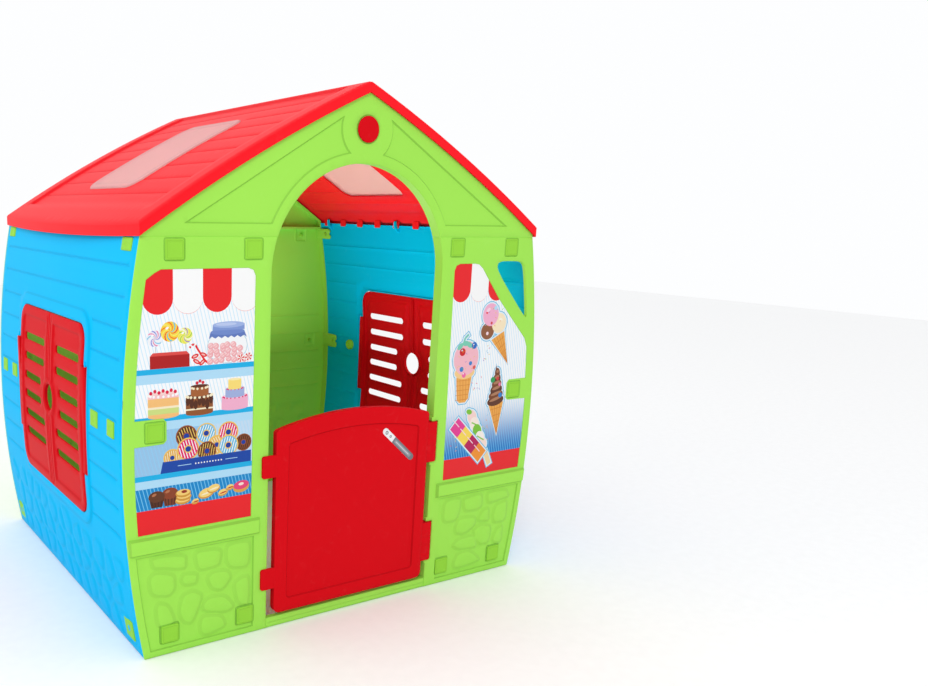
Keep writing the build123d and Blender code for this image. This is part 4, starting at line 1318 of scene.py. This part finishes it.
parts = [sheet_parts(step_plan, [], [], [step_line + (0, d) for d in (-2, 0, 2)], 6, step_relief,
                     on_face(front_y, -1), 11.5, 2.2)]
fit(piece("front_threshold_bar", parts, green_plastic), "house", "front_threshold")


# ---------------------------------------------------------------------------
# Printed films: two shop-window pictures in the front's shallow recesses, and a
# lever on the door. Flat shapes in plain ink colours, under one satin film.
def ink(red, green, blue, lines=0.0):
    """Ink colour from its printed values, with how strongly the hairlines cross it."""
    return np.array([*[0.8 * (v / 255) ** 2.2 for v in (red, green, blue)], lines])


def oval(cx, cz, rx, rz, turn=0.0, count=18):
    """Oval outline, turned by some degrees."""
    angles = np.arange(count) * 2 * math.pi / count
    c, d = math.cos(math.radians(turn)), math.sin(math.radians(turn))
    u, v = rx * np.cos(angles), rz * np.sin(angles)
    return np.stack([cx + u * c - v * d, cz + u * d + v * c], 1)


def stroke(x0, z0, x1, z1, wide):
    """Straight line with a width."""
    run = np.array([x1 - x0, z1 - z0], float)
    off = np.array([-run[1], run[0]]) / np.linalg.norm(run) * wide / 2
    a, b = np.array([x0, z0], float), np.array([x1, z1], float)
    return np.array([a + off, a - off, b - off, b + off])


def strands(points, wide):
    """Bent line as short strokes."""
    return [stroke(*points[n], *points[n + 1], wide) for n in range(len(points) - 1)]


red_ink, white_ink, navy_ink = ink(238, 30, 38), ink(253, 253, 253), ink(22, 62, 158)
cyan_ink, pale_ink, leaf_ink = ink(22, 176, 232), ink(176, 222, 249), ink(126, 196, 60)
brown_ink, dark_ink, cream_ink = ink(150, 82, 42), ink(84, 44, 26), ink(250, 236, 200)
rose_ink, gold_ink = ink(226, 32, 104), ink(240, 196, 96)
sky_ink, orange_ink = ink(104, 186, 226), ink(242, 152, 46)


def awning(edges, top, straight, foot, first_red):
    """Row of awning flaps with round ends, red and white in turn."""
    made = []
    for n, (left, right) in enumerate(zip(edges, edges[1:])):
        half, middle = (right - left) / 2, (left + right) / 2
        flap = [(left, top), (left, straight)]
        flap += [(middle - half * math.cos(a), straight - (straight - foot) * math.sin(a))
                 for a in np.linspace(0, math.pi, 13)[1:-1]]
        flap += [(right, straight), (right, top)]
        flap = np.array(flap)
        is_red = (n % 2 == 0) == first_red
        if not is_red:
            made.append((flap + (0, -0.9), ink(244, 170, 172)))
        made.append((flap, red_ink if is_red else white_ink))
    return made


def lolly(cx, cz, radius, inks, seed):
    """Swirled lollipop: curling wedges of several inks round a centre."""
    made = [(oval(cx, cz, radius, radius), inks[0])]
    count = 10
    for n in range(count):
        arm = []
        for sweep in (0.0, 0.42):
            curl = []
            for t in np.linspace(0.0, 1.0, 6):
                angle, reach = 2 * math.pi * (n + sweep) / count + 1.6 * t + seed, radius * 0.97 * t
                curl.append((cx + reach * math.cos(angle), cz + reach * math.sin(angle)))
            arm.append(curl)
        made.append((np.array(arm[0] + arm[1][::-1][:-1]), inks[1 + n % (len(inks) - 1)]))
    made.append((oval(cx - radius * 0.3, cz + radius * 0.35, radius * 0.2, radius * 0.12, 30, 10), white_ink))
    return made


def doughnut(cx, cz, radius, dough, glaze, lines_ink, seed):
    """Ring cake: dough rim, glaze, sugar threads and its hole."""
    dice = random.Random(seed)
    made = [(oval(cx, cz, radius, radius * 0.96), dough)]
    made.append((oval(cx, cz, radius * 0.88, radius * 0.84), glaze))
    turn = dice.uniform(-0.5, 0.5)
    for n in range(-3, 4):
        u = n * radius * 0.24
        reach = math.sqrt(max((radius * 0.84) ** 2 - u * u, 1))
        c, d = math.cos(turn), math.sin(turn)
        ends = [(cx + u * c - v * d, cz + u * d + v * c) for v in (-reach * 0.92, reach * 0.92)]
        made.append((stroke(*ends[0], *ends[1], radius * 0.08), lines_ink))
    made.append((oval(cx, cz, radius * 0.36, radius * 0.34, 0, 14), dough))
    made.append((oval(cx, cz, radius * 0.26, radius * 0.24, 0, 14), navy_ink))
    return made


def tier(x0, x1, low, top, side_ink, top_ink, squash=0.16):
    """Round cake layer seen a little from above."""
    cx, rx = (x0 + x1) / 2, (x1 - x0) / 2
    rz = rx * squash
    body = [(cx + rx * math.cos(a), level + rz * math.sin(a))
            for level, start in ((low + rz, math.pi), (top - rz, 0))
            for a in np.linspace(start, start + math.pi, 11)]
    return [(np.array(body), side_ink), (oval(cx, top - rz, rx, rz), top_ink)]


def dots(cx, rx, z, count, radius, colour):
    """Row of berries or pearls that follows a cake's near edge."""
    return [(oval(cx + rx * math.cos(a), z + rx * 0.14 * math.sin(a), radius, radius, 0, 8), colour)
            for a in np.linspace(math.pi * 1.03, math.pi * 1.97, count)]


def left_art():
    """Shop shelves: sweets on top, then cakes, a box of ring cakes, and small bakes."""
    art = [(block(-500, 475, -240, 760), ink(252, 253, 255, 1.0)),
           (block(-500, 365, -240, 450), ink(150, 196, 234, 0.8)),
           (block(-360, 365, -240, 450), ink(196, 222, 245, 0.8)),
           (block(-500, 298, -240, 345), ink(20, 134, 202, 1.4))]
    art += awning([-474, -415, -356, -297, -238], 760, 688, 660, True)
    for line, deep in ((563, 27), (475, 26), (366, 25)):
        art.append((block(-500, line - deep, -240, line), pale_ink))
        art.append((block(-500, line - 10, -240, line), cyan_ink))
    art.append((block(-500, 240, -240, 299), red_ink))
    snow_ink = ink(250, 250, 250)
    cool = [ink(238, 240, 250), ink(120, 120, 214), ink(238, 110, 160), ink(120, 196, 230), snow_ink]
    warm = [ink(252, 214, 60), ink(244, 120, 46), ink(250, 236, 110), ink(236, 66, 66), ink(96, 190, 226)]
    green = [ink(240, 240, 120), ink(160, 208, 60), ink(236, 226, 60), ink(160, 120, 200), snow_ink]
    for cx, cz, radius, some, seed in ((-451, 618, 15, cool, 0.2), (-392, 620, 15, green, 2.4),
                                       (-421.5, 629, 18.5, warm, 1.3)):
        art.append((stroke(cx, cz, cx + 3, 578, 1.4), ink(190, 196, 206)))
        art += lolly(cx, cz, radius, some, seed)
    art.append((block(-461, 563, -383, 586), ink(176, 24, 26)))
    art.append((np.array([(-461, 586), (-455, 592), (-389, 592), (-383, 586)], float), ink(224, 74, 70)))
    hook = [(-383, 597), (-378, 603), (-371, 602), (-368, 596)]
    art += [(part, ink(232, 40, 48)) for part in strands(hook, 4)]
    art += [(stroke(*line, 4.2), white_ink) for line in ((-381, 600, -379, 602), (-373, 603, -371, 601))]
    art += [(part, ink(236, 52, 58)) for part in strands([(-368, 596), (-352, 572), (-343, 565)], 4)]
    for cx, cz, turn in ((-372, 581, 20), (-355, 583, -20), (-369, 571, -30), (-357, 569, 40)):
        art.append((oval(cx, cz, 8, 4, turn, 12), ink(226, 40, 40)))
        art.append((oval(cx, cz, 4.5, 1.6, turn, 8), ink(250, 190, 186)))
    art.append((oval(-363, 577, 3.4, 3.4, 0, 10), ink(250, 210, 200)))
    art.append((oval(-305, 596, 43, 33), ink(190, 214, 226)))
    art.append((oval(-305, 596, 41.5, 31.5), ink(247, 250, 252)))
    dice = random.Random(4)
    for n in range(26):
        cx, cz = -340 + 12 * (n % 7) + dice.uniform(-2, 2), 571 + 9 * (n // 7) + dice.uniform(-2, 2)
        if abs(cx + 305) < 38 - (cz - 565) * 0.1:
            art.append((oval(cx, cz, 6.6, 6.2, 0, 12), ink(240, 170, 176)))
            art.append((oval(cx - 1, cz + 1, 4.6, 4.2, 0, 10), ink(250, 206, 208)))
            art.append((stroke(cx - 4, cz - 2, cx + 3, cz + 3, 0.9), ink(238, 140, 150)))
    skirt = [(-341, 622)] + [(-344 + 80 * n / 12, 611 + 4 * (n % 2)) for n in range(13)] + [(-269, 622)]
    art.append((np.array(skirt), ink(96, 122, 190)))
    art.append((oval(-305, 623, 36, 6), ink(112, 138, 204)))
    art.append((block(-336, 626, -269, 636), ink(126, 152, 214)))
    art.append((oval(-302.5, 636, 34, 6), ink(158, 180, 230)))
    art.append((oval(-308, 637, 22, 3), ink(186, 202, 240)))
    for cx, cz in ((-276, 571), (-260, 573)):
        art.append((oval(cx, cz, 8, 8), ink(250, 238, 236)))
        for n in range(6):
            a = n * math.pi / 3
            wedge = [(cx, cz), (cx + 7.6 * math.cos(a), cz + 7.6 * math.sin(a)),
                     (cx + 7.6 * math.cos(a + 0.5), cz + 7.6 * math.sin(a + 0.5))]
            art.append((np.array(wedge), ink(226, 54, 54)))
    art += tier(-466, -405, 470, 521, ink(248, 192, 120), ink(250, 214, 210))
    art.append((block(-466, 479, -405, 490), ink(206, 222, 130)))
    art.append((block(-466, 489, -405, 493), cream_ink))
    art.append((block(-466, 508, -405, 515), ink(250, 196, 200)))
    art += dots(-435.5, 28, 515, 9, 2.6, white_ink)
    art += [(oval(x, 519 + 3 * (n % 2), 3.2, 3.6, 0, 9), ink(222, 30, 70))
            for n, x in enumerate(range(-460, -406, 8))]
    art += tier(-391, -335, 469, 511, ink(146, 84, 44), ink(92, 48, 30))
    art.append((block(-391, 480, -335, 483), cream_ink))
    for n, x in enumerate(np.linspace(-387, -339, 7)):
        art.append((oval(float(x), 498 - 4 * (n % 3), 4.4, 9 + 2 * (n % 2), 0, 12), ink(86, 44, 26)))
    art += dots(-363, 26, 507, 9, 2.8, cream_ink)
    art += tier(-381, -344, 505, 528, ink(164, 96, 52), ink(96, 50, 30))
    art += dots(-362.5, 16, 522, 6, 2.4, cream_ink)
    art += [(oval(x, z, 3.2, 3.2, 0, 10), ink(214, 28, 52))
            for x, z in ((-368, 531), (-362, 534), (-356, 531))]
    art += tier(-317, -260, 472, 504, ink(244, 176, 206), ink(250, 206, 226))
    art += dots(-288.5, 25, 499, 9, 1.8, rose_ink)
    art += tier(-309, -268, 496, 518, ink(160, 176, 222), ink(196, 208, 240))
    art += dots(-288.5, 17, 514, 7, 1.6, rose_ink)
    art += tier(-303, -275, 512, 534, ink(252, 222, 120), ink(254, 238, 178))
    pale_ring, plain_ring = ink(226, 170, 84), ink(232, 178, 90)
    rings = ((-390, 432, 22, brown_ink, dark_ink, gold_ink), (-349, 433, 21, gold_ink, sky_ink, white_ink),
             (-327, 408, 20, gold_ink, plain_ring, cream_ink), (-302, 430, 22, gold_ink, rose_ink, white_ink),
             (-269, 406, 18, brown_ink, dark_ink, brown_ink), (-419, 394, 18, gold_ink, pale_ring, cream_ink),
             (-386.5, 407, 23, gold_ink, rose_ink, white_ink),
             (-347.5, 398, 20, brown_ink, dark_ink, gold_ink), (-302, 404, 22, gold_ink, sky_ink, white_ink))
    for n, given in enumerate(rings):
        art += doughnut(*given, n)
    art.append((np.array([(-443, 366), (-252, 366), (-252, 389), (-438, 388)], float), ink(20, 70, 164)))
    art += [(stroke(-408, 377, -380, 377, 1.2), pale_ink), (stroke(-308, 377, -282, 377, 1.2), pale_ink)]
    art += [(oval(x, 377, 1.5, 1.5, 0, 8), white_ink) for x in range(-371, -314, 6)]
    for cx, cz, cup, cap in ((-424, 318, ink(122, 60, 34), ink(140, 66, 38)),
                             (-451, 315, dark_ink, ink(100, 56, 34))):
        art.append((np.array([(cx - 11, 302), (cx + 11, 302), (cx + 15, cz + 4), (cx - 15, cz + 4)]), cup))
        art += [(stroke(cx + d, 303, cx + d * 1.3, cz + 2, 1.6), ink(60, 30, 20)) for d in (-8, -3, 3, 8)]
        art.append((oval(cx, cz + 8, 16.5, 11), cap))
        art.append((oval(cx - 5, cz + 12, 5, 2.6, 20, 10), ink(182, 112, 76)))
    for cx, cz in ((-398, 308), (-396, 315), (-397, 322)):
        art.append((oval(cx, cz, 16, 8), ink(210, 150, 60)))
        art.append((oval(cx, cz + 2, 14, 6), ink(246, 206, 116)))
    art.append((oval(-395, 325, 6, 3), ink(150, 44, 30)))
    for cx, cz, rx in ((-349, 316, 17), (-333, 323, 14), (-372, 303, 8), (-313, 312, 11), (-298, 320, 9)):
        art.append((oval(cx, cz - 2, rx, 9 * rx / 16, 12), ink(214, 150, 62)))
        art.append((oval(cx, cz, rx * 0.9, 8 * rx / 16, 12), ink(248, 212, 122)))
        filling = cream_ink if rx > 12 else ink(196, 70, 44)
        art.append((oval(cx + 1, cz - 1.5, rx * 0.75, 1.6, 12, 10), filling))
    art.append((oval(-273, 316, 18, 11, 6), ink(222, 164, 74)))
    art.append((oval(-273, 320, 17, 9, 6), ink(232, 70, 120)))
    art.append((oval(-273, 322, 6, 3, 6, 10), ink(250, 226, 214)))
    return art


def berries(spots, count):
    """Round fruits, each given by its middle, radius and ink."""
    return [(oval(x, z, radius, radius, 0, count), colour) for x, z, radius, colour in spots]


def cone(tip, left, right):
    """Wafer cone with a crossed pattern."""
    tip, left, right = (np.array(p, float) for p in (tip, left, right))
    made = [(np.array([tip, right, left]), ink(240, 168, 76))]
    for t in (0.2, 0.4, 0.6, 0.8):
        a, b = left + (right - left) * t, tip + (left - tip) * t
        c = tip + (right - tip) * t
        made.append((stroke(*a, *(tip + (a - tip) * 0.08), 1.2), ink(206, 122, 44)))
        made.append((stroke(*b, *(c + (right - tip) * 0.05), 1.2), ink(206, 122, 44)))
    return made


def outlined(shapes, halo, grow=3.0):
    """Shapes with a pale edge and a blue edge round all of them together."""
    made = []
    for wider, colour in ((grow + 1.8, halo), (grow, ink(226, 240, 250))):
        for outline, _ in shapes:
            made.append((inset(anticlockwise(outline), -wider), colour))
    return made


def scattered_sugar(box, count, seed):
    """Loose sugar strands in many inks."""
    dice = random.Random(seed)
    made = []
    some = (rose_ink, orange_ink, leaf_ink, sky_ink, ink(150, 110, 200), gold_ink)
    for _ in range(count):
        x, z, a = dice.uniform(box[0], box[2]), dice.uniform(box[1], box[3]), dice.uniform(0, math.pi)
        made.append((stroke(x, z, x + 4.5 * math.cos(a), z + 4.5 * math.sin(a), 1.3), dice.choice(some)))
    return made


def right_art():
    """Ices: three cones, a twist and a four-flavour lolly on a ground that deepens downwards."""
    art = [(block(240, 240, 500, 760), None)]
    art += awning([243, 297, 350, 404], 760, 684, 656, True)
    art.append((block(240, 240, 500, 299), red_ink))
    halo = ink(84, 182, 226)
    scoops = [(oval(364, 625, 24, 26), ink(246, 176, 208)), (oval(391, 605, 22, 23), ink(252, 232, 196)),
              (oval(357, 588, 20, 19), ink(146, 92, 62))]
    wafer = cone((428, 508), (371, 567), (409, 586))
    art += outlined([*scoops, wafer[0]], halo)
    art += wafer + [scoops[2], scoops[1], scoops[0]]
    art += berries(((352, 630, 3, red_ink), (368, 606, 3.4, ink(214, 60, 60)),
                    (357, 583, 4, ink(250, 220, 230)), (378, 640, 5, pale_ink)), 9)
    art.append((oval(356, 636, 7, 4, 30, 10), ink(252, 214, 230)))
    art.append((oval(396, 613, 6, 3.5, -20, 10), ink(254, 246, 226)))
    art += scattered_sugar((348, 590, 400, 640), 12, 5)
    body = [(oval(298, 530, 37, 39), ink(248, 186, 200)), (oval(296, 498, 30, 15), ink(250, 206, 140))]
    waffle = (np.array([(272, 488), (318, 488), (311, 438), (303, 429), (285, 429), (277, 438)], float),
              ink(242, 172, 84))
    stem = [(part, ink(122, 206, 190)) for part in strands([(286, 560), (291, 576), (301, 584)], 5)]
    art += outlined([*body, waffle, *stem], halo)
    art += [waffle]
    art += [(stroke(274 + 9 * n, 486, 280 + 8 * n, 432, 1.2), ink(212, 130, 52)) for n in range(5)]
    art += [(stroke(273, 480 - 11 * n, 315 - n, 480 - 11 * n, 1.2), ink(212, 130, 52)) for n in range(5)]
    art += [body[1], body[0], *stem]
    art += [(oval(x, z, 10, 6, turn, 12), ink(122, 206, 180))
            for x, z, turn in ((278, 558, 40), (294, 564, 0), (306, 560, -30))]
    art += berries(((286, 545, 9, ink(206, 30, 40)), (320, 558, 8, ink(40, 110, 196)),
                    (312, 518, 5, ink(60, 130, 206)), (286, 506, 6, ink(60, 130, 206)),
                    (324, 508, 4.6, ink(226, 90, 80)), (294, 492, 6, ink(244, 110, 170))), 12)
    art += [(oval(x - 2, z + 2.4, 2, 1.4, 0, 8), white_ink) for x, z in ((286, 546), (320, 558), (294, 493))]
    art += scattered_sugar((272, 500, 326, 560), 16, 6) + scattered_sugar((320, 450, 350, 500), 7, 7)
    art += scattered_sugar((352, 515, 385, 555), 8, 8)
    swirl = [(oval(398, 424 + 13 * n, 26 - 3.6 * n, 12, 8), ink(96 + 26 * (n % 2), 54 + 14 * (n % 2), 38))
             for n in range(6)]
    swirl.append((np.array([(390, 488), (400, 488), (393, 508)], float), ink(110, 62, 42)))
    wafer = cone((409, 340), (376, 418), (423, 420))
    art += outlined([*swirl, wafer[0]], halo)
    art += wafer + swirl
    for n in range(6):
        art.append((oval(398, 428 + 13 * n, 20 - 3.2 * n, 3.6, 14, 12), ink(176, 124, 92)))
    art += berries(((385, 474, 7, ink(48, 160, 90)), (400, 476, 4.5, ink(214, 60, 60)),
                    (412, 436, 6, ink(50, 130, 210)), (408, 462, 4.5, ink(236, 120, 160))), 10)
    twist_inks = (ink(250, 214, 208), ink(252, 236, 226), leaf_ink, ink(250, 240, 232), ink(252, 222, 214))
    twist = [(oval(328 + 9.5 * n, 392 - 17 * n, 18 - n * 0.8, 13, -62), c) for n, c in enumerate(twist_inks)]
    twist.append((oval(318, 405, 9, 6, -20), leaf_ink))
    stick = (stroke(376, 306, 392, 272, 13), ink(246, 214, 160))
    art += outlined([*twist, stick], halo)
    art += [stick] + twist
    art += [(stroke(318 + 10 * n, 396 - 17 * n, 346 + 8 * n, 384 - 17 * n, 3), leaf_ink) for n in (1, 3)]
    run = np.array([92.0, -88.0]) / 4
    start = np.array([275.0, 382.0])
    flavours = (ink(232, 64, 150), ink(252, 220, 90), ink(186, 26, 90), ink(244, 148, 50))
    segments = [(stroke(*(start + run * n), *(start + run * (n + 1.02)), 34), c)
                for n, c in enumerate(flavours)]
    art += outlined(segments, halo)
    art += segments
    glint = start + (-3, 8)
    art += [(stroke(*(glint + run * n), *(glint + run * (n + 0.8)), 2.2), ink(252, 214, 226))
            for n in range(4)]
    return art + scattered_sugar((270, 310, 300, 350), 6, 9) + scattered_sugar((360, 330, 392, 400), 8, 10)


def deepening(points):
    """Ground of the right picture: white that turns to deep blue lower down."""
    part = ease((450 - points[:, 1]) / 150)[:, None]
    return ink(252, 253, 255, 1.0) * (1 - part) + ink(18, 122, 200, 1.2) * part


def printed_film(name, outline, art, place, body, node, thickness=0.5, spacing=14):
    """Thin film whose picture is cut into its mesh, each facet taking the last shape over it."""
    rim = resampled(outline, 10)
    loops = [rim, *[np.asarray(shape, float) for shape, _ in art]]
    points, edges = [], []
    for loop in loops:
        first = len(points)
        points += [tuple(p) for p in loop]
        edges += [(first + n, first + (n + 1) % len(loop)) for n in range(len(loop))]
    low, high = rim.min(0), rim.max(0)
    columns, rows = (np.arange(low[axis], high[axis], spacing) for axis in (0, 1))
    points += [(x, z) for x in columns for z in rows]
    flat, faces = triangulated(points, edges, [rim])
    middle = flat[faces].mean(1)
    tint = np.tile(white_ink, (len(faces), 3, 1))
    for shape, colour in art:
        shape = np.asarray(shape, float)
        near = ((middle >= shape.min(0)) & (middle <= shape.max(0))).all(1)
        chosen = np.nonzero(near)[0]
        chosen = chosen[inside(middle[chosen], shape)]
        under = deepening(flat[faces[chosen]].reshape(-1, 2)).reshape(-1, 3, 4)
        tint[chosen] = under if colour is None else colour
    outer, inner = (place(flat, np.full(len(flat), height)) for height in (0.0, -thickness))
    made_points, every = closed_shell(outer, inner, faces)
    made = piece(name, [(made_points, every)], film_print, 20)
    colours = np.ones((sum(len(f) for f in every), 4), np.float32)
    colours[:, 3] = 0
    colours[:3 * len(faces)] = tint.reshape(-1, 4)
    layer = made.data.color_attributes.new("print", "FLOAT_COLOR", "CORNER")
    layer.data.foreach_set("color", colours.ravel())
    return fit(made, body, node)


def film_material():
    """Ink from the mesh, crossed by slanting hairlines where its alpha asks for them."""
    made = bpy.data.materials.new("printed_film")
    made.use_nodes = True
    nodes, links = made.node_tree.nodes, made.node_tree.links
    shader = nodes["Principled BSDF"]
    inks = nodes.new("ShaderNodeAttribute")
    inks.attribute_name = "print"
    place = nodes.new("ShaderNodeTexCoord")
    slant = nodes.new("ShaderNodeMapping")
    slant.inputs["Rotation"].default_value = (0, math.radians(14), 0)
    lines = nodes.new("ShaderNodeTexWave")
    lines.bands_direction = "X"
    lines.inputs["Scale"].default_value = 44
    thin = nodes.new("ShaderNodeValToRGB")
    thin.color_ramp.elements[0].position = 0.80
    thin.color_ramp.elements[1].position = 0.98
    amount = nodes.new("ShaderNodeMath")
    amount.operation = "MULTIPLY"
    scaled = nodes.new("ShaderNodeMath")
    scaled.operation = "MULTIPLY"
    scaled.inputs[1].default_value = 0.55
    mixed = nodes.new("ShaderNodeMix")
    mixed.data_type = "RGBA"
    mixed.inputs["B"].default_value = (0.20, 0.56, 0.80, 1)
    grain = nodes.new("ShaderNodeTexNoise")
    grain.inputs["Scale"].default_value = 300
    rough = nodes.new("ShaderNodeMapRange")
    rough.inputs["To Min"].default_value = 0.30
    rough.inputs["To Max"].default_value = 0.42
    links.new(place.outputs["Object"], slant.inputs["Vector"])
    links.new(slant.outputs["Vector"], lines.inputs["Vector"])
    links.new(lines.outputs["Fac"], thin.inputs["Fac"])
    links.new(thin.outputs["Color"], amount.inputs[0])
    links.new(inks.outputs["Alpha"], amount.inputs[1])
    links.new(amount.outputs[0], scaled.inputs[0])
    links.new(scaled.outputs[0], mixed.inputs["Factor"])
    links.new(inks.outputs["Color"], mixed.inputs["A"])
    links.new(mixed.outputs["Result"], shader.inputs["Base Color"])
    links.new(place.outputs["Object"], grain.inputs["Vector"])
    links.new(grain.outputs["Fac"], rough.inputs["Value"])
    links.new(rough.outputs["Result"], shader.inputs["Roughness"])
    shader.inputs["Specular IOR Level"].default_value = 0.25
    return made


film_print = film_material()
film_lift = 0.6


def on_recess(lay, depth):
    """Lays a film on the floor of a recess that is sunk so deep into a face."""
    return lambda flat, height: lay(flat, height - depth + film_lift)


for side, name, art in ((-1, "left", left_art()), (1, "right", right_art())):
    printed_film(f"shop_sticker_{name}_film", anticlockwise(sticker_outline(side)), art,
                 on_recess(on_face(front_y, -1), sticker_drop), "house", f"shop_sticker_{name}")

lever_x, lever_z, lever_turn, lever_long, lever_wide = 113.0, 355.0, -42.0, 112.0, 15.0
lever_run = np.array([math.cos(math.radians(lever_turn)), math.sin(math.radians(lever_turn))])
lever_middle = np.array([lever_x, lever_z])
plate = []
for end, start in ((1, lever_turn - 90), (-1, lever_turn + 90)):
    tip = lever_middle + end * lever_run * (lever_long - lever_wide) / 2
    plate += arc(*tip, lever_wide / 2, start, start + 180, 10)
plate = np.array(plate)
lever_art = [(block(0, 200, 200, 500), ink(236, 238, 242)), (inset(plate, 1.6), ink(250, 250, 252))]
for along, radius, colour in ((-44, 4.2, ink(120, 124, 130)), (-44, 2.4, ink(214, 218, 222)),
                              (-30, 3.2, ink(120, 124, 130)), (-30, 1.6, ink(214, 218, 222))):
    spot = lever_middle + lever_run * along
    lever_art.append((oval(spot[0], spot[1], radius, radius, 0, 12), colour))
for near, far, wide, colour in ((-18, 60, 16, ink(118, 122, 130)), (-14, 46, 8, ink(150, 154, 162)),
                                (-10, 40, 2.4, ink(206, 210, 216))):
    a, b = lever_middle + lever_run * near, lever_middle + lever_run * far
    lever_art.append((stroke(*a, *b, wide), colour))
printed_film("door_handle_sticker_film", plate, lever_art, on_recess(on_face(door_face, -1), door_drop),
             "door", "door_handle_sticker", spacing=6)
